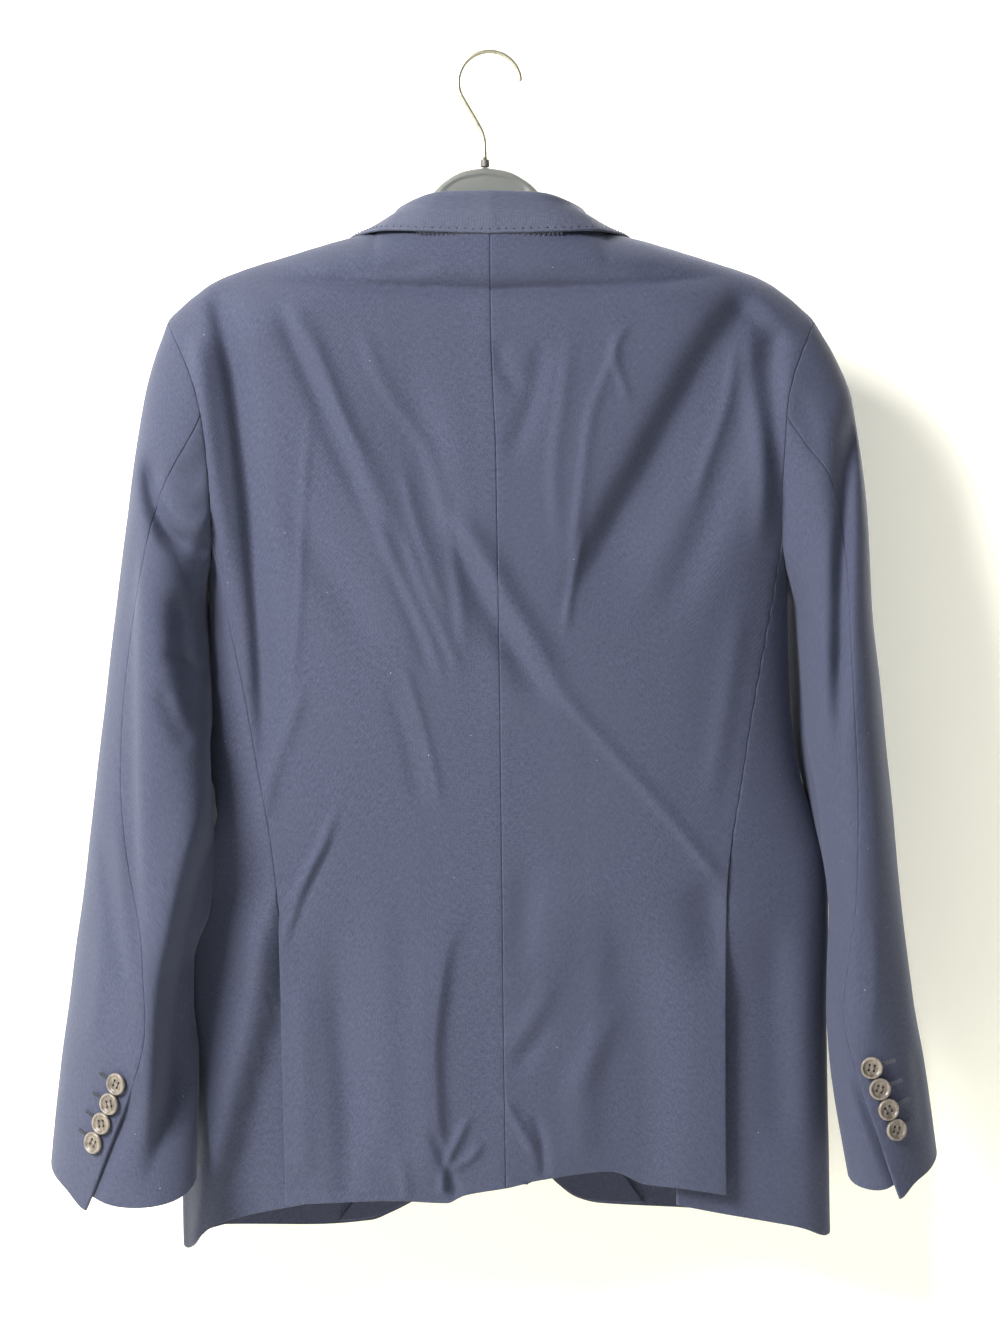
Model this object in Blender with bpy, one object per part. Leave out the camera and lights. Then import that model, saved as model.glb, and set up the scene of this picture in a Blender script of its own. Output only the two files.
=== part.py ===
"""Single breasted blazer hanging from a plastic hanger with a wire hook.

The back of the garment faces -Y, the fronts face +Y, +X is the wearer's right, and +Z is up.
The origin is the inside top of the hook. Lengths below are in millimetres; MM makes them metres.
"""

import math

import bmesh
import bpy
import numpy as np

MM = 0.001
SEAM_GAP = 0.3
CLOTH = 1.8
FACING = 1.5
LEFT = -1
RIGHT = 1
SIDE_NAMES = {LEFT: "left", RIGHT: "right"}

# ---- torso -------------------------------------------------------------------------------------
# One row for each level. Widths are measured from the body's own centre line, which sways aside.
SECTION_POWER = 2.6
TORSO = {
    "level": (-120, -191, -240, -280, -313, -345, -372, -400, -460, -510, -546, -571, -600, -700, -845),
    "half_width": (264, 262, 255, 247, 232, 214, 205.5, 205, 206, 212, 222, 229, 230.8, 229, 229),
    "back_depth": (54, 56, 56, 57, 57, 57, 57, 57, 56, 54, 53, 52, 52, 52, 50),
    "front_depth": (52, 58, 60, 60, 60, 60, 60, 60, 58, 57, 56, 55, 54, 53, 50),
    "sway": (0, 0.5, 2, 4, 4.6, 5.2, 5.6, 6, 7, 7.5, 8, 8.2, 8.6, 9.6, 12),
}
SHOULDER = {
    "x": (0, 40, 80, 100, 149, 191, 212, 228, 240),
    "level": (-124, -125, -128, -132, -146, -160.5, -174.7, -190.5, -206),
}
NECK_HALF_WIDTH = 80
SHOULDER_HALF_WIDTH = 228
NECK_DEPTH = 48
NECK_POWER = 0.6
BACK_ROUND_NECK = 45
FRONT_ROUND_NECK = 60
ROUND_SHOULDER = 72
CENTRE_GAP = 0.21
NORMAL_STEP = 1e-4

# ---- armhole and seams -------------------------------------------------------------------------
ARMHOLE_TOP = -190.5
ARMHOLE_BOTTOM = -372
ARMHOLE = {
    "level": (-190.5, -197, -211, -238, -254, -280, -313, -345, -360, -372),
    "x": (228, 225.5, 219, 208.5, 205, 202, 200, 199.5, 201.5, 205.5),
}
SEAM_TURN = math.radians(134.6)
SIDE_SEAM_BACK = {
    "level": (-345, -391, -460, -518, -557, -596, -695, -845),
    "x": (199.5, 191.5, 177.5, 167.5, 160.5, 156.5, 154.5, 153),
}
SIDE_SEAM_FRONT = {
    "level": (-345, -391, -460, -560, -700, -845),
    "x": (199.5, 192, 189, 197, 204, 203),
}
# Below the vent's top the side panel reaches under the back, in a lap that fades out across it.
VENT_TOP = -597
VENT_LAP = 34
VENT_LAP_DEPTH = 0.12
VENT_LAP_START = 22
VENT_LAP_END = 0.34
VENT_STEP = 3.4
VENT_STEP_START = 14
VENT_STEP_FADE = (0.2, 0.42)
ARMHOLE_EASE = 0.12

# ---- hems --------------------------------------------------------------------------------------
BACK_HEM = {
    LEFT: {
        "x": (0, 31, 42, 83, 119, 158),
        "level": (-797, -802.5, -807.5, -806, -807.5, -810),
    },
    RIGHT: {
        "x": (0, 26, 75, 101, 128, 158),
        "level": (-797, -791.5, -786.5, -796, -798.5, -803),
    },
}
SIDE_HEM = {
    LEFT: {"across": (0, 0.25, 0.5, 0.75, 1), "level": (-806, -823, -845, -842, -836)},
    RIGHT: {"across": (0, 0.25, 0.5, 0.75, 1), "level": (-811, -826, -836, -834, -829)},
}
FRONT_HEM = {
    LEFT: {"x": (24, 44, 66, 87, 101, 140, 210), "level": (-790, -808, -821, -831, -836, -838.5, -836)},
    RIGHT: {"x": (16, 34, 53, 70, 130, 210), "level": (-785, -806, -820, -824, -826.5, -829)},
}

# ---- fronts ------------------------------------------------------------------------------------
# The inner edge of each front: the roll line down to the top button, the front edge, the cutaway.
FRONT_EDGE = {
    LEFT: {
        "level": (-128, -165, -205, -260, -320, -400, -470, -520, -545, -675, -720, -755, -790),
        "x": (80, 69, 60, 48, 34, 14.5, -4, -15.5, -19.5, -20, -15, -1.5, 24),
    },
    RIGHT: {
        "level": (-128, -165, -205, -260, -320, -400, -470, -520, -545, -675, -715, -750, -785),
        "x": (80, 69, 60, 48, 34, 14.5, -4, -15.5, -19.5, -20, -16, -5, 16),
    },
}
LAPEL_EDGE = {
    "level": (-170, -210, -260, -330, -400, -470, -520, -545),
    "x": (130, 125, 108, 84, 57, 26, -1, -16),
}
HEM_EASE = (0.7, 1)
CORNER_LEVELS = (600, 700)
EDGE_STEP = 0.002
GORGE_LEVEL = -172
GORGE_ROW = 3
ROLL_END = -545
# The left front laps over the right one: each steps off the middle plane by the shift.
OVERLAP_SHIFT = 4.2
OVERLAP_FADE = (26, 70)
OVERLAP_LEVELS = (200, 300)
# The facing runs from its inner edge to STRIP_END inside the front, round the edge to
# LAPEL_START, and out over the front from there.
STRIP_END = 0.42
LAPEL_START = 0.58
FACING_COLUMNS = (0, 0.14, 0.28, 0.42, 0.46, 0.5, 0.54, 0.58, 0.68, 0.79, 0.9, 1)
FACING_WIDTH_TOP = 12
FACING_WIDTH_BREAK = 48
FACING_INNER_HEM = {LEFT: 122, RIGHT: 100}
FACING_HEM_LEVEL = 800
EDGE_ROLL = 1.2
STRIP_EASE = 1.3
STRIP_EASE_END = 0.35
LAPEL_EASE = 0.9
LAPEL_EASE_END = 0.3
LAPEL_TOP_SLOPE = 0.72
LAPEL_TOP_END = 330
LAPEL_BELLY = 4
LAPEL_BELLY_WIDTH = 60
LAPEL_BELLY_LEVELS = (380, 440)
HEM_STEP = 2

# ---- collar ------------------------------------------------------------------------------------
# Key points of the cross-section, a row for each section from the centre back to the gorge:
# neck seam, fold, middle of the fall and edge of the fall, each as x, y, z.
COLLAR = {
    "at": (0, 0.2, 0.38, 0.55, 0.7, 0.85, 1),
    "seam": (
        (0, -43.8, -125.5), (38, -37.5, -126), (60, -23.5, -126.5), (77.3, -2, -126),
        (76.2, 20, -132), (70.3, 44, -152), (62.5, 51, -169.5),
    ),
    "fold": (
        (0, -47.5, -104), (34, -44, -104.8), (51, -32, -107.8), (62.5, -2, -113),
        (63.5, 20, -121), (63.5, 44, -146), (63, 58, -169),
    ),
    "middle": (
        (0, -53.2, -119.5), (40, -49.5, -119), (64, -38, -119), (80, -2, -121.8),
        (86, 26, -128.5), (92, 49, -152), (103, 62, -191.5),
    ),
    "edge": (
        (0, -56.5, -135), (44, -53.5, -133.2), (74, -42, -130.6), (96, -2, -128.6),
        (106, 22, -135), (115, 45, -152.5), (121, 57.5, -175),
    ),
}
COLLAR_WALL = 1.4
COLLAR_FOLD_RADIUS = 2.6
STAND_HOLLOW = 0.8
FALL_CROWN = 0.6
FALL_CROWN_PLACE = 0.55

# ---- sleeves -----------------------------------------------------------------------------------
# A row for each ring from the armhole down. Outer and inner are the ring's two ends seen from
# behind, each with x and level; y places those ends; back and front are the half depths; drop is
# how much lower the ring's back is than its middle.
SLEEVES = {
    LEFT: {
        "along": (0, 0.038, 0.076, 0.187, 0.274, 0.37, 0.465, 0.543, 0.64, 0.712, 0.773, 0.851, 1),
        "outer_x": (228, 238, 245, 257, 264, 270.4, 276.8, 281.5, 287.9, 293, 296.6, 302.2, 309.4),
        "outer_z": (-190.5, -217, -246, -330, -388, -445, -501, -545, -600, -638, -670, -712, -782),
        "inner_x": (202, 206, 208, 205, 202, 198, 196, 195, 201, 210, 207.5, 203.5, 202.5),
        "inner_z": (-372, -384, -393, -420, -450, -489, -528, -562, -606, -640, -669, -707, -788),
        "outer_y": (0, 0, 0, 0, -2, -4, -6, -8, -10, -12, -14, -15, -15),
        "inner_y": (0, -2, -5, -14, -26, -38, -47, -53, -56, -57, -58, -58, -58),
        "back": (40, 44, 47, 51, 52, 50, 47, 45, 42, 41, 40, 39, 37),
        "front": (40, 45, 50, 58, 62, 64, 65, 65, 63, 61, 59, 56, 50),
        "drop": (0, 0, 0, 0, 0, 0, 3, 5, 9, 12, 15, 18, 21),
        "elbow": (76.9, 76.9, 76, 66, 59, 56, 60, 70, 92, 108, 112, 98, 64),
    },
    RIGHT: {
        "along": (0, 0.038, 0.076, 0.187, 0.274, 0.37, 0.465, 0.543, 0.64, 0.712, 0.773, 0.851, 1),
        "outer_x": (228, 244, 256, 267, 269.5, 275, 280.5, 285.2, 290, 295.7, 298.4, 306.2, 314.9),
        "outer_z": (-190.5, -217, -246, -330, -388, -445, -501, -545, -600, -649, -671, -712, -775),
        "inner_x": (211, 213, 215, 217, 219, 222.5, 230, 233.8, 237, 237.6, 237.2, 238, 250),
        "inner_z": (-372, -384, -393, -420, -445, -485, -529, -569, -608, -652, -671, -710, -790),
        "outer_y": (0, 0, 0, 0, 0, -2, -4, -6, -8, -10, -12, -13, -15),
        "inner_y": (0, -1, -2, -6, -12, -18, -24, -29, -33, -35, -36, -36, -36),
        "back": (40, 44, 47, 51, 53, 53, 51, 50, 48, 46, 46, 46, 42),
        "front": (40, 45, 50, 58, 62, 64, 65, 65, 63, 61, 59, 56, 50),
        "drop": (0, 0, 0, 0, 0, 0, 1, 2, 4, 6, 8, 9, 11),
        "elbow": (76.9, 76.9, 76, 76, 78, 84, 94, 104, 118, 132, 136, 122, 90),
    },
}
ARMHOLE_BLEND = 0.12
ARMHOLE_GAP = 0.5
ARMHOLE_GAP_TOP = 1.3
FRONT_SLEEVE_SEAM = -115.4
SLEEVE_SEAM_GAP = 0.45
INNER_TAPER = 0.62
INNER_TAPER_FADE = (0.1, 0.5)
# The inner front of each ring fills out towards the body and the fronts, by these amounts.
INNER_FULLNESS = {
    LEFT: {
        "along": (0, 0.03, 0.06, 0.08, 0.1, 0.14, 0.18, 0.26, 0.3, 0.34, 0.38, 0.42, 1),
        "inward": (0, 0, 4.5, 8.5, 11, 12, 11.8, 11, 9, 6, 2, 0, 0),
        "ahead": (0, 12, 22, 24, 24, 24, 24, 24, 22, 14, 6, 0, 0),
    },
    RIGHT: {
        "along": (0, 0.05, 0.08, 0.1, 0.14, 0.22, 0.3, 0.38, 0.42, 0.46, 0.5, 0.54, 0.58, 0.62, 1),
        "inward": (0, 0, 4, 6.5, 8.5, 10.5, 13, 15, 15.5, 14.5, 10.5, 5, 2, 0, 0),
        "ahead": (0, 10, 24, 24, 24, 24, 24, 24, 24, 24, 18, 12, 4, 0, 0),
    },
}
INNER_FULLNESS_POWERS = (1.6, 0.7)

# ---- folds -------------------------------------------------------------------------------------
# Ridges stand out and troughs go in. Each path's points are (x, level), seen from behind.
BACK_FOLDS = (
    {"name": "left shoulder ridge", "width": 9, "rise": 3.2,
     "path": ((-132, -201), (-118, -243), (-69, -351))},
    {"name": "long diagonal ridge", "width": 9, "rise": 3.0,
     "path": ((-28, -319), (45, -451), (104, -521), (153, -583))},
    {"name": "right shoulder trough", "width": 15, "rise": -8.0,
     "path": ((170, -181), (104, -299), (49, -403))},
    {"name": "left blade trough", "width": 13, "rise": -8.0,
     "path": ((-192, -195), (-180, -278), (-172, -361), (-168, -458))},
    {"name": "right armhole trough", "width": 9, "rise": -4.5,
     "path": ((191, -188), (183, -250), (184, -361))},
    {"name": "right blade trough", "width": 10, "rise": -4.0,
     "path": ((174, -195), (164, -264), (143, -333))},
    {"name": "left vent ridge", "width": 12, "rise": 5.0,
     "path": ((-160, -650), (-172, -700), (-184, -750), (-200, -835))},
    {"name": "hem fold", "width": 11, "rise": 4.0,
     "path": ((-35, -666), (-30, -736), (-28, -815))},
    {"name": "left side trough", "width": 16, "rise": -4.0,
     "path": ((-196, -560), (-206, -660), (-214, -760))},
)
SLEEVE_FOLDS = (
    {"name": "right lobe valley", "width": 9, "rise": -9.0,
     "path": ((250, -240), (242, -282), (237, -323), (237, -375), (235, -458), (230, -540))},
    {"name": "right outer ridge", "width": 16, "rise": 4.0,
     "path": ((268, -250), (262, -330), (262, -430), (266, -540), (276, -650))},
    {"name": "left lobe valley", "width": 8, "rise": -7.0,
     "path": ((-200, -545), (-211, -606), (-222, -658), (-230, -705), (-232, -775))},
    {"name": "left elbow valley", "width": 11, "rise": -5.0,
     "path": ((-245, -300), (-248, -361), (-249, -452), (-245, -532), (-237, -621))},
    {"name": "left upper ridge", "width": 12, "rise": 3.5,
     "path": ((-230, -290), (-226, -360), (-226, -430), (-232, -500))},
)
FOLD_FADE = 0.22
YOKE_VALLEY = {"x": (0, 45, 86, 118, 158, 185), "level": (-172.9, -171.9, -169.8, -167, -162.3, -158)}
YOKE_DEPTH = 5.0
YOKE_ABOVE = 17
YOKE_BELOW = 7
YOKE_REACH = (120, 170)

# ---- small pieces ------------------------------------------------------------------------------
FLAP_WALL = 1.8
FLAP_TURNS = (1.30, 1.86)
FLAP_SPRING = 0.8
FLAP_TOP = -640
FLAP_HEIGHT = 52
WELT_X = (90, 176)
WELT_LEVELS = (-342, -334)
WELT_HEIGHT = 23
WELT_WALL = 1.6
WELT_STAND = 2.3
LIFT = 0.4
SMALL_BUTTON = {"radius": 7.35, "height": 3.6, "lift": 0.9}
LARGE_BUTTON = {"radius": 10, "height": 4.4, "lift": 0.6}
# Turned outline of a button, in shares of its radius and height: foot, flank, rim, sunk middle.
BUTTON_PROFILE = {
    "reach": (0.72, 1, 1, 0.86, 0.70),
    "rise": (0, 0.35, 0.75, 1, 0.72),
}
BUTTON_SIDES = 16
CUFF_BUTTONS = {
    LEFT: ((-720, 12.5), (-734.5, 12.2), (-749, 12.2), (-763.5, 12.5)),
    RIGHT: ((-708.5, 12.0), (-723.5, 12.4), (-738.5, 12.8), (-753.5, 12.6)),
}
FRONT_BUTTON_LEVELS = (-545, -655)

# ---- hanger ------------------------------------------------------------------------------------
HANGER = {
    "x": (0, 15, 30, 40, 52, 60, 70, 80, 100, 149, 180, 196),
    "top": (-81, -83.5, -91.5, -101.5, -114, -122, -128.5, -132.5, -136.5, -150.5, -161, -168.5),
    "height": (46, 45, 40, 34, 27, 24, 22, 21, 21, 22, 22, 18),
    "half_depth": (6, 6, 6.5, 7, 7.5, 8, 8.5, 9, 11, 13.5, 14, 12),
}
HANGER_CENTRE = -3.5
HANGER_POWER = 2.5
HANGER_SIDES = 12
HANGER_SECTIONS = 29
WIRE_RADIUS = 1.5
HOOK_RADIUS = 22
HOOK_CENTRE = (-0.5, -20.5)
HOOK_STEM = ((-3.6, -74.9), (-3.9, -68), (-4.3, -61), (-6.8, -53.5), (-12.2, -44))
HOOK_ARC = (math.radians(205), math.radians(2))
HOOK_ARC_STEPS = 18
FERRULE_RADIUS = 3.2
FERRULE_LEVELS = (-80.6, -75.2)
FERRULE_SIDES = 16

# ---- mesh steps --------------------------------------------------------------------------------
ARM_ROWS = 7
SEAM_ROWS = 8
HEM_ROWS = 8
BACK_COLUMNS = 11
FRONT_COLUMNS = 10
FRONT_CROWDING = 1.3
SIDE_COLUMNS = 6
SLEEVE_ROWS = 20
TOP_SLEEVE_COLUMNS = 14
ELBOW_COLUMNS = 3
COLLAR_COLUMNS = 30
COLLAR_ROWS = 8
FLAP_STEPS = (8, 3)
WELT_STEPS = (5, 2)
CUFF_SEARCH_ROUNDS = 12
SLEEVE_LENGTH = 520
CUFF_START = 0.9
CUFF_STEP = 0.004
CUFF_SPAN = 0.01

COLOURS = {
    "cloth": (0.094, 0.104, 0.148),
    "inside": (0.060, 0.068, 0.100),
    "horn": (0.36, 0.31, 0.25),
    "plastic": (0.05, 0.05, 0.055),
    "steel": (0.55, 0.55, 0.56),
}


# ---- reading tables ----------------------------------------------------------------------------
def read(table, column, at):
    """One column of a table against its first column, by a smooth curve that never overshoots."""
    key = next(iter(table))
    order = np.argsort(table[key])
    xs = np.array(table[key], float)[order]
    ys = np.array(table[column], float)[order]
    steps = np.diff(xs)
    slopes = np.diff(ys, axis=0) / steps.reshape((-1,) + (1,) * (ys.ndim - 1))
    tangents = np.zeros_like(ys)
    same_way = slopes[:-1] * slopes[1:] > 0
    product = np.where(same_way, slopes[:-1] * slopes[1:], 0)
    tangents[1:-1] = 2 * product / np.where(same_way, slopes[:-1] + slopes[1:], 1)
    tangents[0] = slopes[0]
    tangents[-1] = slopes[-1]
    at = np.clip(np.asarray(at, float), xs[0], xs[-1])
    index = np.clip(np.searchsorted(xs, at) - 1, 0, len(xs) - 2)
    step = steps[index]
    t = (at - xs[index]) / step
    if ys.ndim > 1:
        step = step[..., None]
        t = t[..., None]
    return (
        (1 + 2 * t) * (1 - t) ** 2 * ys[index]
        + t * (1 - t) ** 2 * step * tangents[index]
        + t**2 * (3 - 2 * t) * ys[index + 1]
        + t**2 * (t - 1) * step * tangents[index + 1]
    )


def ease(at, start, end):
    """Goes smoothly from 0 at start to 1 at end."""
    t = np.clip((np.asarray(at, float) - start) / (end - start), 0, 1)
    return t * t * (3 - 2 * t)


def mix(a, b, share):
    return a + (b - a) * share


# ---- form of the torso -------------------------------------------------------------------------
def fold_height(x, level, folds):
    """Sum of the folds at a place, each fading along its path and across it."""
    total = np.zeros(np.broadcast(x, level).shape)
    for fold in folds:
        path = np.array(fold["path"], float)
        lengths = np.linalg.norm(np.diff(path, axis=0), axis=1)
        nearest = np.full(total.shape, np.inf)
        place = np.zeros(total.shape)
        for i, length in enumerate(lengths):
            way = (path[i + 1] - path[i]) / length
            along = np.clip((x - path[i][0]) * way[0] + (level - path[i][1]) * way[1], 0, length)
            gap = np.hypot(x - path[i][0] - along * way[0], level - path[i][1] - along * way[1])
            nearer = gap < nearest
            place = np.where(nearer, (lengths[:i].sum() + along) / lengths.sum(), place)
            nearest = np.minimum(gap, nearest)
        fade = ease(place, 0, FOLD_FADE) * ease(1 - place, 0, FOLD_FADE)
        total += fold["rise"] * fade * np.exp(-((nearest / fold["width"]) ** 2))
    return total


def yoke_height(x, level):
    """The crease between the shoulders: the cloth above it hangs over, the cloth below goes back out."""
    above = level - read(YOKE_VALLEY, "level", np.abs(x))
    depth = np.where(above > 0, np.exp(-above / YOKE_ABOVE), np.exp(above / YOKE_BELOW))
    return -YOKE_DEPTH * depth * (1 - ease(np.abs(x), *YOKE_REACH))


def turn_at(x, level, front=False):
    """Turn round the torso of a place x from the centre line: 0 centre back, 1 side, 2 centre front."""
    share = np.clip(np.abs(x) / read(TORSO, "half_width", level), 0, 1)
    turn = np.arcsin(share ** (SECTION_POWER / 2)) / (math.pi / 2)
    return 2 - np.sign(x) * turn if front else turn


def torso_point(side, turn, level):
    """Outer face of the torso, folds included."""
    angle = np.asarray(turn, float) * math.pi / 2
    sine = np.sin(angle)
    cosine = np.cos(angle)
    x = read(TORSO, "half_width", level) * np.sign(sine) * np.abs(sine) ** (2 / SECTION_POWER)
    share = np.sign(cosine) * np.abs(cosine) ** (2 / SECTION_POWER)
    is_back = cosine > 0
    depth = np.where(is_back, read(TORSO, "back_depth", level), read(TORSO, "front_depth", level))
    neck = NECK_DEPTH * np.clip(1 - (np.abs(x) / NECK_HALF_WIDTH) ** 2, 0, 1) ** NECK_POWER
    top = np.where(is_back, -neck - SEAM_GAP / 2, SEAM_GAP / 2)
    drop = read(SHOULDER, "level", np.abs(x)) - level
    near_neck = np.where(is_back, BACK_ROUND_NECK, FRONT_ROUND_NECK)
    radius = mix(near_neck, ROUND_SHOULDER, ease(np.abs(x), NECK_HALF_WIDTH, SHOULDER_HALF_WIDTH))
    fill = np.sqrt(1 - (1 - np.clip(drop / radius, 0, 1)) ** 2)
    y = top + (-share * depth - top) * fill
    across = side * x + read(TORSO, "sway", level)
    relief = fold_height(across, level, BACK_FOLDS) + yoke_height(x, level)
    y = y - np.where(is_back, relief * fill * np.clip(share * 2, 0, 1), 0)
    overlap = (1 - ease(x, *OVERLAP_FADE)) * ease(-np.asarray(level, float), *OVERLAP_LEVELS)
    y = y - np.where(is_back, 0, side * OVERLAP_SHIFT * overlap)
    return np.stack(np.broadcast_arrays(across, y, level), axis=-1)


def outward(surface, u, v, towards):
    """Unit normals of a surface, by small steps. towards is 1 or -1 and picks the side."""
    step = NORMAL_STEP
    du = surface(np.minimum(u + step, 1), v) - surface(np.maximum(u - step, 0), v)
    dv = surface(u, np.minimum(v + step, 1)) - surface(u, np.maximum(v - step, 0))
    normal = np.cross(du, dv)
    return towards * normal / np.linalg.norm(normal, axis=-1, keepdims=True)


# ---- panels of the torso -----------------------------------------------------------------------
def seam_level(v, hem):
    """Level along a side seam: armhole to vent top in the first part, vent top to hem below."""
    share = SEAM_ROWS / (SEAM_ROWS + HEM_ROWS)
    top = read_armhole_level(SEAM_TURN)
    upper = mix(top, VENT_TOP, np.clip(v / share, 0, 1))
    return np.where(v < share, upper, mix(VENT_TOP, hem, np.clip((v - share) / (1 - share), 0, 1)))


def read_armhole_level(angle):
    middle = (ARMHOLE_TOP + ARMHOLE_BOTTOM) / 2
    return middle + (ARMHOLE_TOP - middle) * np.cos(angle)


def outer_edge(v, hem, seam):
    """Armhole edge and then side seam of a back or front: (x, level) for v from 0 to 1."""
    share = ARM_ROWS / (ARM_ROWS + SEAM_ROWS + HEM_ROWS)
    in_armhole = v < share
    arm_level = read_armhole_level(SEAM_TURN * np.clip(v / share, 0, 1))
    low_level = seam_level(np.clip((v - share) / (1 - share), 0, 1), hem)
    x = np.where(in_armhole, read(ARMHOLE, "x", arm_level), read(seam, "x", low_level) - SEAM_GAP / 2)
    return x, np.where(in_armhole, arm_level, low_level)


def back_panel(side):
    hem = BACK_HEM[side]

    def surface(u, v):
        edge_x, edge_level = outer_edge(v, hem["level"][-1], SIDE_SEAM_BACK)
        top_level, low_level = ARMHOLE_TOP, hem["level"][-1]
        fall = (edge_level - top_level) / (low_level - top_level)
        top = read(SHOULDER, "level", mix(CENTRE_GAP, read(ARMHOLE, "x", top_level), u))
        bottom = read(hem, "level", u * hem["x"][-1])
        level = mix(top, bottom, fall)
        x = mix(CENTRE_GAP, edge_x, u)
        return torso_point(side, turn_at(x, level), level)

    return surface


def vent_lap(u, level):
    """How far the side panel reaches under the back's vent edge, and how far it steps in there."""
    reach = ease(-level, -VENT_TOP, VENT_LAP_START - VENT_TOP) * (1 - ease(u, 0, VENT_LAP_END))
    down = ease(-level, -VENT_STEP_START - VENT_TOP, -VENT_TOP)
    return VENT_LAP * reach, VENT_STEP * down * (1 - ease(u, *VENT_STEP_FADE))


def side_turn(u, level):
    """Turn round the torso at a share of the way from the back seam to the front one."""
    start = turn_at(read(SIDE_SEAM_BACK, "x", level) + SEAM_GAP / 2, level)
    end = turn_at(read(SIDE_SEAM_FRONT, "x", level) + SEAM_GAP / 2, level, front=True)
    return mix(start, end, u)


def side_panel(side):
    hem = SIDE_HEM[side]
    share = SEAM_ROWS / (SEAM_ROWS + HEM_ROWS)

    def surface(u, v):
        angle = mix(SEAM_TURN, 2 * math.pi - SEAM_TURN, u)
        arm_level = read_armhole_level(angle)
        upper = mix(arm_level, VENT_TOP, np.clip(v / share, 0, 1))
        low = mix(VENT_TOP, read(hem, "level", u), np.clip((v - share) / (1 - share), 0, 1))
        level = np.where(v < share, upper, low)
        arm_turn = turn_at(read(ARMHOLE, "x", arm_level), arm_level)
        arm_turn = np.where(angle > math.pi, 2 - arm_turn, arm_turn)
        correction = (arm_turn - side_turn(u, arm_level)) * (1 - ease(v, 0, ARMHOLE_EASE))
        point = torso_point(side, side_turn(u, level) + correction, level)
        lap, inset = vent_lap(u, level)
        point[..., 0] -= side * lap
        point[..., 1] += inset + VENT_LAP_DEPTH * lap
        return point

    return surface


def front_edge(side, share):
    """Inner edge of a front, from the neck (share 0) to the end of the cutaway (share 1)."""
    table = FRONT_EDGE[side]
    level = mix(table["level"][0], table["level"][-1], share)
    return read(table, "x", level), level


def fall_share(side, v):
    """Share of the way down the outer edge at each row, which the inner edge keeps to."""
    low = SIDE_HEM[side]["level"][-1]
    level = outer_edge(v, low, SIDE_SEAM_FRONT)[1]
    return (level - ARMHOLE_TOP) / (low - ARMHOLE_TOP)


def front_panel(side):
    hem = FRONT_HEM[side]

    def surface(u, v):
        edge_x, edge_level = outer_edge(v, SIDE_HEM[side]["level"][-1], SIDE_SEAM_FRONT)
        inner_x, inner_level = front_edge(side, fall_share(side, v))
        x = mix(inner_x, edge_x, u)
        level = mix(inner_level, edge_level, u)
        top = read(SHOULDER, "level", mix(NECK_HALF_WIDTH, read(ARMHOLE, "x", ARMHOLE_TOP), u))
        level = level + (1 - v) ** 2 * (top - mix(front_edge(side, 0)[1], ARMHOLE_TOP, u))
        bottom = read(hem, "level", mix(hem["x"][0], hem["x"][-1], u))
        straight = mix(hem["level"][0], SIDE_HEM[side]["level"][-1], u)
        level = level + ease(v, *HEM_EASE) * (bottom - straight)
        return torso_point(side, turn_at(x, level, front=True), level)

    return surface


# ---- facing and lapel --------------------------------------------------------------------------
def edge_direction(side, share):
    """Unit direction in the panel, as (x, level), that points out of the front across its edge."""
    low_x, low_level = front_edge(side, np.clip(share - EDGE_STEP, 0, 1))
    high_x, high_level = front_edge(side, np.clip(share + EDGE_STEP, 0, 1))
    away = np.stack([high_level - low_level, -(high_x - low_x)], -1)
    away = away / np.linalg.norm(away, axis=-1, keepdims=True)
    turned = ease(-front_edge(side, share)[1], *CORNER_LEVELS)[..., None]
    away = mix(np.array([-1.0, 0.0]), away, turned)
    return away / np.linalg.norm(away, axis=-1, keepdims=True)


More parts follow.
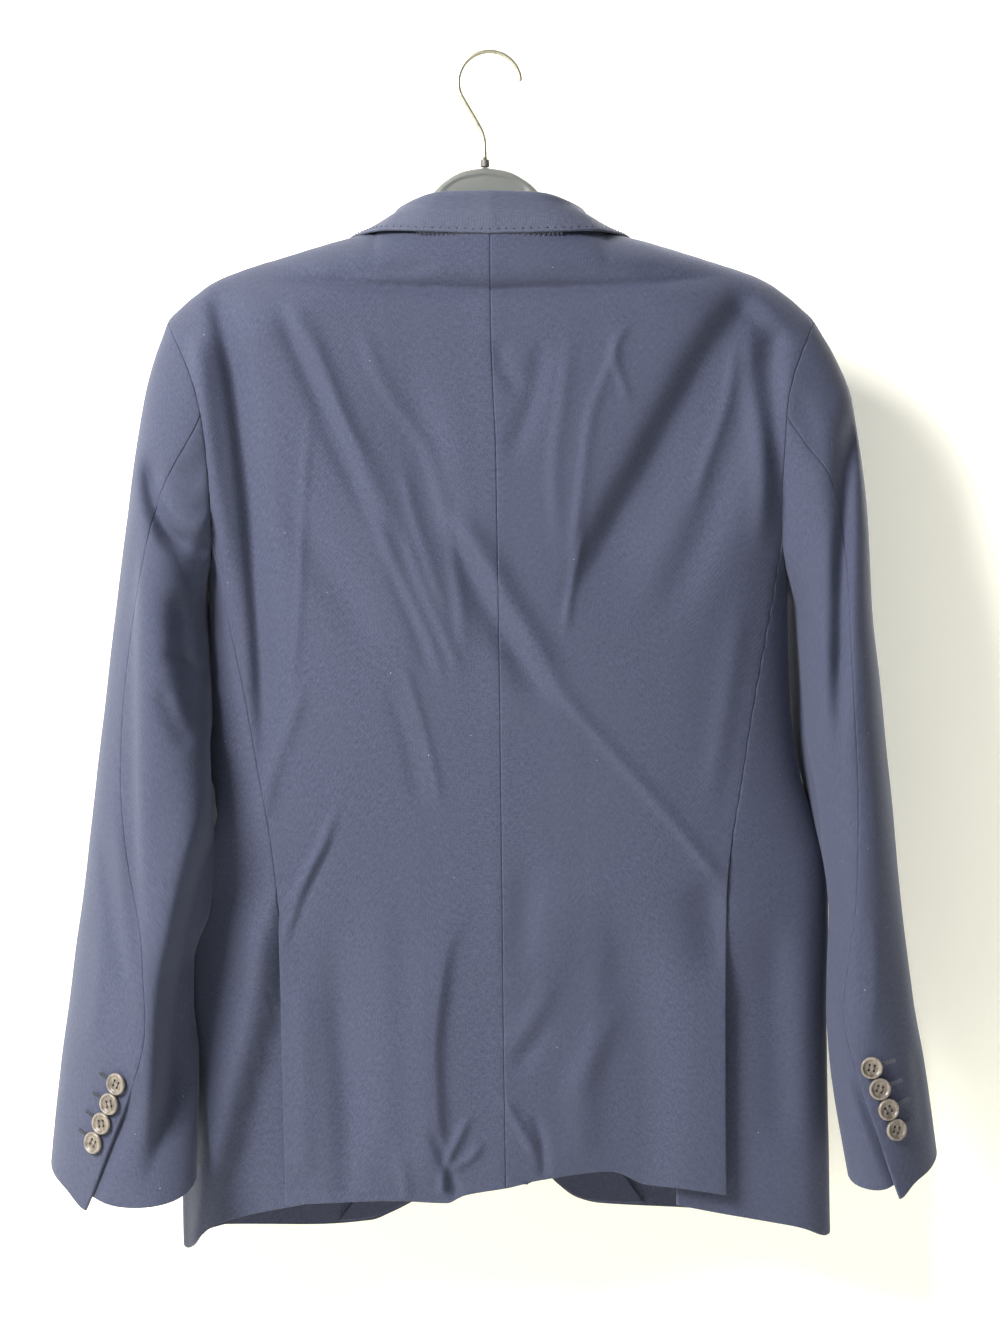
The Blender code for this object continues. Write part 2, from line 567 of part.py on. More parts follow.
def facing_panel(side):
    """Inner strip, round the front edge, and out over the front as the lapel above the roll's end."""
    hem = FRONT_HEM[side]
    corner_x = hem["x"][0]

    def surface(u, v):
        first = GORGE_ROW / (ARM_ROWS + SEAM_ROWS + HEM_ROWS)
        share = fall_share(side, mix(first, 1, v))
        edge_x, edge_level = front_edge(side, share)
        fall = -edge_level
        away = edge_direction(side, share)
        in_strip = np.clip(1 - u / STRIP_END, 0, 1)
        round_edge = np.clip((u - STRIP_END) / (LAPEL_START - STRIP_END), 0, 1) * math.pi
        in_lapel = np.clip((u - LAPEL_START) / (1 - LAPEL_START), 0, 1)
        above_roll = edge_level > ROLL_END
        above = mix(FACING_WIDTH_TOP, FACING_WIDTH_BREAK, ease(fall, -GORGE_LEVEL, -ROLL_END))
        hem_width = FACING_INNER_HEM[side] - corner_x
        below = mix(FACING_WIDTH_BREAK, hem_width, ease(fall, -ROLL_END, FACING_HEM_LEVEL))
        strip = np.where(above_roll, above, below)
        lapel = np.where(above_roll, read(LAPEL_EDGE, "x", edge_level) - edge_x, 0)
        lapel = np.maximum(lapel, EDGE_ROLL)
        radius = CLOTH / 2 + SEAM_GAP + FACING
        outside = radius * np.sin(round_edge) - lapel * in_lapel
        x = edge_x + strip * in_strip + away[..., 0] * outside
        level = edge_level + away[..., 1] * outside
        near_top = 1 - ease(fall, -GORGE_LEVEL, LAPEL_TOP_END)
        level = level - LAPEL_TOP_SLOPE * lapel * in_lapel * near_top
        strip_hem = read(hem, "level", corner_x + strip * in_strip) + HEM_STEP * in_strip
        level = level + (strip_hem - hem["level"][0]) * ease(v, *HEM_EASE)
        height = -CLOTH / 2 - radius * np.cos(round_edge)
        height = height - STRIP_EASE * ease(in_strip, 0, STRIP_EASE_END)
        height = height + LAPEL_EASE * ease(in_lapel, 0, LAPEL_EASE_END)
        belly = LAPEL_BELLY * np.sin(math.pi * in_lapel) * np.clip(lapel / LAPEL_BELLY_WIDTH, 0, 1)
        belly = belly * (1 - ease(fall, *LAPEL_BELLY_LEVELS))
        point = torso_point(side, turn_at(x, level, front=True), level)
        point[..., 1] += height + belly
        return point

    return surface


# ---- collar ------------------------------------------------------------------------------------
def collar_panel(u, v):
    """Stand, fold and fall. u runs from the left front end to the right one, v from seam to edge."""
    at = np.abs(u * 2 - 1)
    mirror = np.where(u < 0.5, -1.0, 1.0)
    seam = read(COLLAR, "seam", at)
    fold = read(COLLAR, "fold", at)
    middle = read(COLLAR, "middle", at)
    edge = read(COLLAR, "edge", at)
    out = edge - seam
    up = fold - (seam + edge) / 2
    up = up / np.linalg.norm(up, axis=-1, keepdims=True)
    out = out - up * np.sum(out * up, axis=-1, keepdims=True)
    out = out / np.linalg.norm(out, axis=-1, keepdims=True)
    knots = np.stack(
        [
            seam,
            mix(seam, fold, 0.5) - out * STAND_HOLLOW,
            fold - (out + up) * COLLAR_FOLD_RADIUS,
            fold,
            fold + (out - up) * COLLAR_FOLD_RADIUS,
            mix(fold, middle, FALL_CROWN_PLACE) + up * FALL_CROWN,
            middle,
            mix(middle, edge, 0.5),
            edge,
        ],
        axis=-2,
    )
    last = knots.shape[-2] - 1
    place = np.clip(v * last, 0, last - 1e-9)
    index = place.astype(int)
    t = (place - index)[..., None]
    ahead = np.minimum(index + 1, last)
    before = np.maximum(index - 1, 0)
    after = np.minimum(index + 2, last)

    def pick(i):
        spread = i[..., None, None] + np.zeros(i.shape + (1, 3), int)
        return np.take_along_axis(knots, spread, axis=-2)[..., 0, :]

    a, b, c, d = pick(before), pick(index), pick(ahead), pick(after)
    square = 2 * a - 5 * b + 4 * c - d
    cube = 3 * b - a - 3 * c + d
    point = 0.5 * (2 * b + (c - a) * t + square * t**2 + cube * t**3)
    point[..., 0] *= mirror
    return point


# ---- sleeves -----------------------------------------------------------------------------------
def armhole_point(side, angle):
    """Edge of the armhole: angle 0 at the shoulder, then down the back, under the arm and up the front."""
    level = read_armhole_level(angle)
    turn = turn_at(read(ARMHOLE, "x", level), level)
    turn = np.where(np.sin(angle) < 0, 2 - turn, turn)
    return torso_point(side, turn, level)


def ring_end(side, end, along):
    """One end of the rings, outer or inner, as a point."""
    table = SLEEVES[side]
    x = side * read(table, end + "_x", along)
    return np.stack([x, read(table, end + "_y", along), read(table, end + "_z", along)], -1)


def ring_point(side, angle, along):
    """Ring of a sleeve: angle 0 at its outer end, a quarter turn at its back, folds included."""
    table = SLEEVES[side]
    share = ((1 - np.cos(angle)) / 2)[..., None]
    point = mix(ring_end(side, "outer", along), ring_end(side, "inner", along), share)
    sine = np.sin(angle)
    narrowed = np.clip((1 + np.cos(angle)) / 2, 0, 1) ** INNER_TAPER
    taper = mix(1, narrowed, ease(along, *INNER_TAPER_FADE))
    back = read(table, "back", along)
    front = read(table, "front", along) * taper
    point[..., 1] -= np.where(sine > 0, back, front) * sine
    point[..., 2] -= read(table, "drop", along) * sine
    sine_power, cosine_power = INNER_FULLNESS_POWERS
    full = 2 * np.clip(-sine, 0, 1) ** sine_power * np.clip(-np.cos(angle), 0, 1) ** cosine_power
    fullness = INNER_FULLNESS[side]
    point[..., 0] -= side * full * read(fullness, "inward", along)
    point[..., 1] += full * read(fullness, "ahead", along)
    relief = fold_height(point[..., 0], point[..., 2], SLEEVE_FOLDS)
    point[..., 1] -= relief * np.clip(sine * 2, 0, 1)
    return point


def sleeve_point(side, angle, along):
    """Outer face of a sleeve: the armhole's edge at the top, easing into the table's rings."""
    start = armhole_point(side, angle)
    start[..., 0] += side * (ARMHOLE_GAP + ARMHOLE_GAP_TOP * np.clip(np.cos(angle), 0, 1))
    correction = start - ring_point(side, angle, np.zeros_like(along))
    return ring_point(side, angle, along) + correction * (1 - ease(along, 0, ARMHOLE_BLEND))[..., None]


def sleeve_panel(side, under):
    """Top or under sleeve. u runs across it from the elbow seam, v from the armhole to the cuff."""
    start = math.radians(SLEEVES[side]["elbow"][0])
    front = math.radians(FRONT_SLEEVE_SEAM)
    gap = math.radians(SLEEVE_SEAM_GAP)
    full = 2 * math.pi
    if under:
        elbow_part = np.linspace(start, SEAM_TURN, ELBOW_COLUMNS + 1)
        arm_part = np.linspace(SEAM_TURN, full - SEAM_TURN, SIDE_COLUMNS + 1)[1:]
        knots = np.concatenate([elbow_part, arm_part, [full + front]])
        shares = (knots - start) / (full + front - start)
    else:
        shares = np.linspace(0, 1, TOP_SLEEVE_COLUMNS + 1)

    def surface(u, v):
        elbow = np.radians(read(SLEEVES[side], "elbow", v))
        if under:
            angle = mix(elbow + gap, full + front - gap, u)
        else:
            angle = mix(elbow - gap, front + gap, u)
        return sleeve_point(side, angle, v * np.ones_like(u))

    return surface, shares


# ---- meshes ------------------------------------------------------------------------------------
def material(name, colour, roughness=0.85, metallic=0.0):
    made = bpy.data.materials.new(name)
    made.use_nodes = True
    shader = made.node_tree.nodes["Principled BSDF"]
    shader.inputs["Base Color"].default_value = (*COLOURS[colour], 1)
    shader.inputs["Roughness"].default_value = roughness
    shader.inputs["Metallic"].default_value = metallic
    return made


def add_object(name, mesh, finish):
    made = bpy.data.objects.new(name, mesh)
    bpy.context.scene.collection.objects.link(made)
    mesh.materials.append(finish)
    mesh.shade_smooth()
    return made


def add_wall(name, surface, across, along, thickness, towards, finish):
    """Closed sheet: its shown face follows the surface, the other lies a thickness behind it."""
    u, v = np.meshgrid(across, along, indexing="ij")
    shown = surface(u, v)
    behind = shown - thickness * outward(surface, u, v, towards)
    columns, rows = u.shape
    points = np.concatenate([shown.reshape(-1, 3), behind.reshape(-1, 3)]) * MM
    far = columns * rows
    faces = []
    for i in range(columns - 1):
        for j in range(rows - 1):
            a = i * rows + j
            faces.append((a, a + rows, a + rows + 1, a + 1))
            faces.append((far + a, far + a + 1, far + a + rows + 1, far + a + rows))
    top = [i * rows for i in reversed(range(columns))]
    bottom = [i * rows + rows - 1 for i in range(columns)]
    first = list(range(rows))
    last = list(reversed(range((columns - 1) * rows, columns * rows)))
    for line in (top, bottom, first, last):
        for a, b in zip(line, line[1:]):
            faces.append((a, b, far + b, far + a))
    if towards < 0:
        faces = [face[::-1] for face in faces]
    mesh = bpy.data.meshes.new(name)
    mesh.from_pydata(points.tolist(), [], faces)
    return add_object(name, mesh, finish)


def steps(count, skipped=0):
    """Even places from 0 to 1, for a grid of this many steps less those skipped."""
    return np.linspace(0, 1, count - skipped + 1)


def build_torso(cloth, inside):
    panel_rows = ARM_ROWS + SEAM_ROWS + HEM_ROWS
    for side, name in SIDE_NAMES.items():
        rows = steps(panel_rows)
        add_wall(f"back_{name}", back_panel(side), steps(BACK_COLUMNS), rows, CLOTH, -side, cloth)
        columns = steps(FRONT_COLUMNS) ** FRONT_CROWDING
        add_wall(f"front_{name}", front_panel(side), columns, rows, CLOTH, side, cloth)
        rows = steps(SEAM_ROWS + HEM_ROWS)
        add_wall(f"side_{name}", side_panel(side), steps(SIDE_COLUMNS), rows, CLOTH, -side, cloth)
        rows = steps(panel_rows, GORGE_ROW)
        columns = np.array(FACING_COLUMNS)
        add_wall(f"facing_{name}", facing_panel(side), columns, rows, FACING, side, inside)


def build_collar(cloth):
    columns = steps(COLLAR_COLUMNS)
    add_wall("collar", collar_panel, columns, steps(COLLAR_ROWS), COLLAR_WALL, -1, cloth)


def build_sleeves(cloth):
    for side, name in SIDE_NAMES.items():
        for under, piece in ((False, "top_sleeve"), (True, "under_sleeve")):
            surface, shares = sleeve_panel(side, under)
            towards = side if under else -side
            add_wall(f"{piece}_{name}", surface, shares, steps(SLEEVE_ROWS), CLOTH, towards, cloth)


# ---- things that lie on panels -----------------------------------------------------------------
def pocket_flap(side):
    def surface(u, v):
        level = FLAP_TOP - FLAP_HEIGHT * v
        turn = mix(*FLAP_TURNS, u)
        base = torso_point(side, turn, level)
        after = torso_point(side, turn + NORMAL_STEP, level)
        ahead = after - torso_point(side, turn - NORMAL_STEP, level)
        away = np.stack([ahead[..., 1], -ahead[..., 0], 0 * level], -1) * side
        away = away / np.linalg.norm(away, axis=-1, keepdims=True)
        return base + away * (LIFT + FLAP_WALL + FLAP_SPRING * v[..., None])

    return surface


def breast_welt(u, v):
    x = mix(*WELT_X, u)
    level = mix(*WELT_LEVELS, u) - WELT_HEIGHT * v
    point = torso_point(LEFT, turn_at(x, level, front=True), level)
    point[..., 1] += WELT_STAND
    return point


def build_pockets(cloth):
    columns, rows = (steps(count) for count in FLAP_STEPS)
    for side, name in SIDE_NAMES.items():
        add_wall(f"pocket_flap_{name}", pocket_flap(side), columns, rows, FLAP_WALL, -side, cloth)
    columns, rows = (steps(count) for count in WELT_STEPS)
    add_wall("breast_welt", breast_welt, columns, rows, WELT_WALL, LEFT, cloth)


def ring_faces(rings, sides):
    """Faces of a closed tube of rings, ends included, for points listed ring by ring."""
    faces = [tuple(range(sides))]
    for i in range(rings - 1):
        for k in range(sides):
            a = i * sides + k
            b = i * sides + (k + 1) % sides
            faces.append((a, b, b + sides, a + sides))
    faces.append(tuple(reversed(range((rings - 1) * sides, rings * sides))))
    return faces


def add_rings(name, points, rings, sides, finish):
    """Closed solid through rings of points in millimetres."""
    mesh = bpy.data.meshes.new(name)
    mesh.from_pydata((np.array(points) * MM).tolist(), [], ring_faces(rings, sides))
    shape = bmesh.new()
    shape.from_mesh(mesh)
    bmesh.ops.recalc_face_normals(shape, faces=shape.faces)
    shape.to_mesh(mesh)
    shape.free()
    return add_object(name, mesh, finish)


def add_button(name, place, normal, size, finish):
    """Disc with a raised rim round a sunk middle, its back on the cloth."""
    normal = normal / np.linalg.norm(normal)
    across = np.cross(normal, (0, 0, 1))
    across = across / np.linalg.norm(across)
    up = np.cross(across, normal)
    base = place + normal * size["lift"]
    points = []
    for reach, rise in zip(BUTTON_PROFILE["reach"], BUTTON_PROFILE["rise"]):
        centre = base + normal * rise * size["height"]
        for k in range(BUTTON_SIDES):
            angle = 2 * math.pi * k / BUTTON_SIDES
            spoke = math.cos(angle) * across + math.sin(angle) * up
            points.append(centre + reach * size["radius"] * spoke)
    return add_rings(name, points, len(BUTTON_PROFILE["reach"]), BUTTON_SIDES, finish)


def cuff_place(side, level, beside):
    """Point and outward normal on the top sleeve, a distance beside the elbow seam at a level."""

    def at(angle, along):
        return sleeve_point(side, np.array(angle), np.array(along))

    along = CUFF_START
    for _ in range(CUFF_SEARCH_ROUNDS):
        angle = math.radians(float(read(SLEEVES[side], "elbow", along)))
        start = at(angle, along)
        along += (start[2] - level) / SLEEVE_LENGTH
    point = start
    while np.linalg.norm(point - start) < beside:
        angle -= CUFF_STEP
        point = at(angle, along)
    across = at(angle + CUFF_SPAN, along) - at(angle - CUFF_SPAN, along)
    down = at(angle, along + CUFF_SPAN) - at(angle, along - CUFF_SPAN)
    normal = np.cross(across, down)
    normal = normal / np.linalg.norm(normal)
    return point, -normal if normal[1] > 0 else normal


def build_buttons(horn):
    for side, name in SIDE_NAMES.items():
        for number, (level, beside) in enumerate(CUFF_BUTTONS[side], 1):
            point, normal = cuff_place(side, level, beside)
            add_button(f"cuff_button_{name}_{number}", point, normal, SMALL_BUTTON, horn)
    for number, level in enumerate(FRONT_BUTTON_LEVELS, 1):
        turn = turn_at(np.array(0.0), level, front=True)
        point = torso_point(LEFT, turn, np.array(float(level)))
        normal = np.array((0.0, 1.0, 0.0))
        add_button(f"front_button_{number}", point, normal, LARGE_BUTTON, horn)


# ---- hanger ------------------------------------------------------------------------------------
def rounded(half, share):
    """Side of a rounded oblong of this half size, for a sine or cosine."""
    return half * math.copysign(abs(share) ** (2 / HANGER_POWER), share)


def build_hanger(plastic):
    reach = HANGER["x"][-1]
    points = []
    for share in np.linspace(-1, 1, HANGER_SECTIONS):
        x = share * reach
        top = float(read(HANGER, "top", abs(x)))
        half_height = float(read(HANGER, "height", abs(x))) / 2
        half_depth = float(read(HANGER, "half_depth", abs(x)))
        centre_x = x + HANGER_CENTRE * (1 - abs(share))
        for k in range(HANGER_SIDES):
            angle = 2 * math.pi * k / HANGER_SIDES
            y = rounded(half_depth, math.cos(angle))
            z = top - half_height + rounded(half_height, math.sin(angle))
            points.append((centre_x, y, z))
    add_rings("hanger", points, HANGER_SECTIONS, HANGER_SIDES, plastic)


def build_hook(steel):
    points = []
    for level in FERRULE_LEVELS:
        for k in range(FERRULE_SIDES):
            angle = 2 * math.pi * k / FERRULE_SIDES
            x = HOOK_STEM[0][0] + FERRULE_RADIUS * math.cos(angle)
            points.append((x, FERRULE_RADIUS * math.sin(angle), level))
    add_rings("hook_ferrule", points, len(FERRULE_LEVELS), FERRULE_SIDES, steel)

    route = list(HOOK_STEM)
    for k in range(HOOK_ARC_STEPS + 1):
        angle = mix(*HOOK_ARC, k / HOOK_ARC_STEPS)
        x = HOOK_CENTRE[0] + HOOK_RADIUS * math.cos(angle)
        route.append((x, HOOK_CENTRE[1] + HOOK_RADIUS * math.sin(angle)))
    curve = bpy.data.curves.new("hanger_hook", "CURVE")
    curve.dimensions = "3D"
    curve.bevel_depth = WIRE_RADIUS * MM
    curve.bevel_resolution = 2
    curve.use_fill_caps = True
    spline = curve.splines.new("POLY")
    spline.points.add(len(route) - 1)
    for point, (x, z) in zip(spline.points, route):
        point.co = (x * MM, 0, z * MM, 1)
    curve.materials.append(steel)
    hook = bpy.data.objects.new("hanger_hook", curve)
    bpy.context.scene.collection.objects.link(hook)


def main():
    for old in list(bpy.data.objects):
        bpy.data.objects.remove(old, do_unlink=True)
    cloth = material("navy cloth", "cloth")
    inside = material("navy facing", "inside")
    horn = material("horn", "horn", roughness=0.4)
    plastic = material("hanger plastic", "plastic", roughness=0.45)
    steel = material("hook steel", "steel", roughness=0.3, metallic=1.0)
    build_torso(cloth, inside)
    build_collar(cloth)
    build_sleeves(cloth)
    build_pockets(cloth)
    build_buttons(horn)
    build_hanger(plastic)
    build_hook(steel)


main()
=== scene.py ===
"""Looks of a single breasted blazer that hangs from a plastic hanger with a wire hook.

The back of the garment faces -Y, its fronts face +Y, +X is the wearer's right, and +Z is up.
Lengths are in millimetres, and MM makes them metres; a name that ends in _m holds metres.
"""

import logging
import math
from collections.abc import Callable
from dataclasses import dataclass, field
from enum import Enum
from functools import partial
from typing import Any

import bmesh
import bpy
import numpy as np
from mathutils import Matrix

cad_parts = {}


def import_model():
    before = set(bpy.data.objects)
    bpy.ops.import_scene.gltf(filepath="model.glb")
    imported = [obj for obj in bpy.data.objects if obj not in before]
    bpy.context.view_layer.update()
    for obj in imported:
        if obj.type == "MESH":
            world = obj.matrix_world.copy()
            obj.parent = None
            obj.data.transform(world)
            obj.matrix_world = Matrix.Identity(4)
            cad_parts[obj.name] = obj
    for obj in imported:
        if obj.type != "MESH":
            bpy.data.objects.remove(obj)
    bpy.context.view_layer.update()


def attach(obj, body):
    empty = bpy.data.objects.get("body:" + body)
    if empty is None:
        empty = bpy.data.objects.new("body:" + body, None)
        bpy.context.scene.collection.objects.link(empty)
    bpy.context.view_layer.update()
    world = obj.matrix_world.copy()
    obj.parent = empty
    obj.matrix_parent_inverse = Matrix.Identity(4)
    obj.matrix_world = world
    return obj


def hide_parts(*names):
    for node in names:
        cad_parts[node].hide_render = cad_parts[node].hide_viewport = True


LOG = logging.getLogger("blazer")
MM = 0.001
FULL_TURN = 2 * math.pi
BODY = "root"
LEFT = -1
RIGHT = 1
SIDE_NAMES = {LEFT: "left", RIGHT: "right"}
CUT_MAP = "cut"

Array = np.ndarray
Table = dict[str, tuple]
Surface = Callable[[Array, Array], Array]
Pair = tuple[float, float]
Triple = tuple[float, float, float]
Axes = tuple[Array, Array, Array]
Object = bpy.types.Object


# ---- reading tables ----
def table_of(**columns: tuple) -> Any:
    """Field of a dataclass that holds a table. Its first column holds the places of the rows."""
    return field(default_factory=lambda: columns)


def by_side(left: object, right: object) -> Any:
    """Field of a dataclass that holds one value for the left half and one for the right."""
    return field(default_factory=lambda: {LEFT: left, RIGHT: right})


def read(table: Table, column: str, at: Array | float) -> Array:
    """Reads one column of a table by a smooth curve that never overshoots.

    Args:
        table: Columns by name. The first one holds the places of the rows.
        column: Name of the column to read.
        at: Places to read it at, kept within the table's ends.

    Returns:
        The column's value at each place.
    """
    key = next(iter(table))
    order = np.argsort(table[key])
    xs = np.array(table[key], float)[order]
    ys = np.array(table[column], float)[order]
    steps = np.diff(xs)
    slopes = np.diff(ys, axis=0) / steps.reshape((-1,) + (1,) * (ys.ndim - 1))
    tangents = np.zeros_like(ys)
    same_way = slopes[:-1] * slopes[1:] > 0
    product = np.where(same_way, slopes[:-1] * slopes[1:], 0)
    tangents[1:-1] = 2 * product / np.where(same_way, slopes[:-1] + slopes[1:], 1)
    tangents[0] = slopes[0]
    tangents[-1] = slopes[-1]
    at = np.clip(np.asarray(at, float), xs[0], xs[-1])
    index = np.clip(np.searchsorted(xs, at) - 1, 0, len(xs) - 2)
    step = steps[index]
    t = (at - xs[index]) / step
    if ys.ndim > 1:
        step = step[..., None]
        t = t[..., None]
    return (
        (1 + 2 * t) * (1 - t) ** 2 * ys[index]
        + t * (1 - t) ** 2 * step * tangents[index]
        + t**2 * (3 - 2 * t) * ys[index + 1]
        + t**2 * (t - 1) * step * tangents[index + 1]
    )


def ease(at: Array | float, start: float, end: float) -> Array:
    """Goes smoothly from 0 at start to 1 at end."""
    t = np.clip((np.asarray(at, float) - start) / (end - start), 0, 1)
    return t * t * (3 - 2 * t)


def mix(a: Array | float, b: Array | float, share: Array | float) -> Array:
    """Value a share of the way from a to b."""
    return a + (b - a) * share


def unit(vectors: Array) -> Array:
    """Vectors made one long."""
    return vectors / np.maximum(np.linalg.norm(vectors, axis=-1, keepdims=True), 1e-9)


def curve_between(a: Array, b: Array, c: Array, d: Array, t: Array) -> Array:
    """Point a share t of the way from b to c on the smooth curve through a, b, c and d."""
    square = 2 * a - 5 * b + 4 * c - d
    cube = 3 * b - a - 3 * c + d
    return 0.5 * (2 * b + (c - a) * t + square * t**2 + cube * t**3)


def smooth_path(points: Array, count: int) -> Array:
    """Even steps along a smooth curve through a few points.

    Args:
        points: The points, one a row.
        count: How many steps each stretch between two points gets.

    Returns:
        The curve's points.
    """
    ends = np.concatenate([[2 * points[0] - points[1]], points, [2 * points[-1] - points[-2]]])
    t = np.linspace(0, 1, count, endpoint=False)[:, None]
    parts = [curve_between(*knots, t) for knots in zip(ends, ends[1:], ends[2:], ends[3:])]
    return np.concatenate(parts + [points[-1:]])


# ---- folds ----
FOLD_STEPS = 4
FOLD_REACH = 2.6


@dataclass(frozen=True)
class Fold:
    """A crease. Its path runs down the cloth as x, level, x, level and so on.

    rise is the height of the ridge, or below 0 the depth of the trough. left and right are how far
    it takes to fade on each side of the path, and fades the shares of the path it takes at each end.
    """

    rise: float
    left: float
    right: float
    path: tuple[float, ...]
    fades: Pair = (0.25, 0.25)

    def height(self, x: Array, level: Array) -> Array:
        """Height of the fold at each place."""
        path = smooth_path(np.array(self.path, float).reshape(-1, 2), FOLD_STEPS)
        reach = FOLD_REACH * max(self.left, self.right)
        low = path.min(axis=0) - reach
        high = path.max(axis=0) + reach
        near = (x > low[0]) & (x < high[0]) & (level > low[1]) & (level < high[1])
        total = np.zeros(np.broadcast(x, level).shape)
        if not near.any():
            return total
        x = np.broadcast_to(x, total.shape)[near]
        level = np.broadcast_to(level, total.shape)[near]
        ways = np.diff(path, axis=0)
        lengths = np.linalg.norm(ways, axis=1)
        starts = np.concatenate([[0], np.cumsum(lengths)])
        nearest = np.full(x.shape, np.inf)
        place = np.zeros(x.shape)
        aside = np.zeros(x.shape)
        for i, length in enumerate(lengths):
            way = ways[i] / length
            off_x = x - path[i][0]
            off_level = level - path[i][1]
            along = np.clip(off_x * way[0] + off_level * way[1], 0, length)
            gap = np.hypot(off_x - along * way[0], off_level - along * way[1])
            nearer = gap < nearest
            nearest = np.where(nearer, gap, nearest)
            place = np.where(nearer, (starts[i] + along) / starts[-1], place)
            aside = np.where(nearer, off_level * way[0] - off_x * way[1], aside)
        width = np.where(aside > 0, self.right, self.left)
        fade = ease(place, 0, self.fades[0]) * ease(1 - place, 0, self.fades[1])
        total[near] = self.rise * fade * np.exp(-((nearest / width) ** 2))
        return total


def folds_height(folds: tuple[Fold, ...], x: Array, level: Array) -> Array:
    """Sum of the heights of several folds."""
    return sum((fold.height(x, level) for fold in folds), np.zeros(np.broadcast(x, level).shape))


@dataclass(frozen=True)
class Undulation:
    """Soft unevenness of hung cloth: a sum of seeded waves through space."""

    seed: int
    rise: float
    shortest: float = 26.0
    longest: float = 120.0
    waves: int = 14
    way_scale: Triple = (1, 1, 0.45)
    length_power: float = 1.6

    def at(self, points: Array) -> Array:
        """Height at each point, in millimetres."""
        source = np.random.default_rng(self.seed)
        total = np.zeros(points.shape[:-1])
        for _ in range(self.waves):
            way = unit(source.normal(size=3) * self.way_scale)
            length = mix(self.shortest, self.longest, source.random() ** self.length_power)
            phase = source.random() * FULL_TURN
            total += np.sin(points @ way * FULL_TURN / length + phase) * length / self.longest
        return self.rise * total / math.sqrt(self.waves)


# Main creases of the back and the side panels.
BACK_MAIN_FOLDS = (
    Fold(3.6, 4.5, 10, (-143, -178, -122, -224, -104, -263, -85, -305, -62, -352), (0.15, 0.3)),
    Fold(-4.4, 8, 5, (-150, -176, -130, -222, -112, -263, -92, -306, -71, -348), (0.2, 0.3)),
    Fold(5, 6, 9, (-30, -322, -5, -359, 17, -396, 36, -428, 52, -456), (0.2, 0.3)),
    Fold(2.2, 3, 6, (36, -428, 52, -457, 81, -491, 112, -526, 141, -561, 164, -589), (0.2, 0.1)),
    Fold(-5.4, 10, 5, (-34, -330, -13, -372, 10, -413, 32, -446, 48, -470), (0.25, 0.3)),
    Fold(-13, 13, 40,
         (190, -172, 174, -190, 157, -212, 133, -255, 107, -303, 83, -345, 54, -408), (0.08, 0.3)),
    Fold(-5, 13, 15, (196, -192, 181, -250, 154, -326, 130, -379, 100, -424), (0.15, 0.35)),
    Fold(8, 7, 9, (-206, -196, -200, -240, -194, -290, -186, -350, -177, -430), (0.1, 0.4)),
    Fold(-10, 6, 13,
         (-196, -160, -191, -184, -180, -230, -170, -307, -165, -369, -160, -438, -156, -520),
         (0.08, 0.25)),
    Fold(-5, 8, 7, (199, -192, 198, -247, 203, -311, 206, -364), (0.1, 0.3)),
    Fold(5.4, 26, 6, (-10, -600, -28, -624, -34, -652, -39, -700, -37, -750, -35, -800), (0.35, 0.12)),
    Fold(-8, 60, 26, (62, -590, 92, -640, 103, -700, 105, -760, 102, -800), (0.35, 0.001)),
    Fold(-2.6, 5, 6, (-118, -160, -76, -161, -30, -158), (0.3, 0.3)),
    Fold(-2.6, 5, 6, (38, -159, 90, -161, 142, -158), (0.3, 0.3)),
)
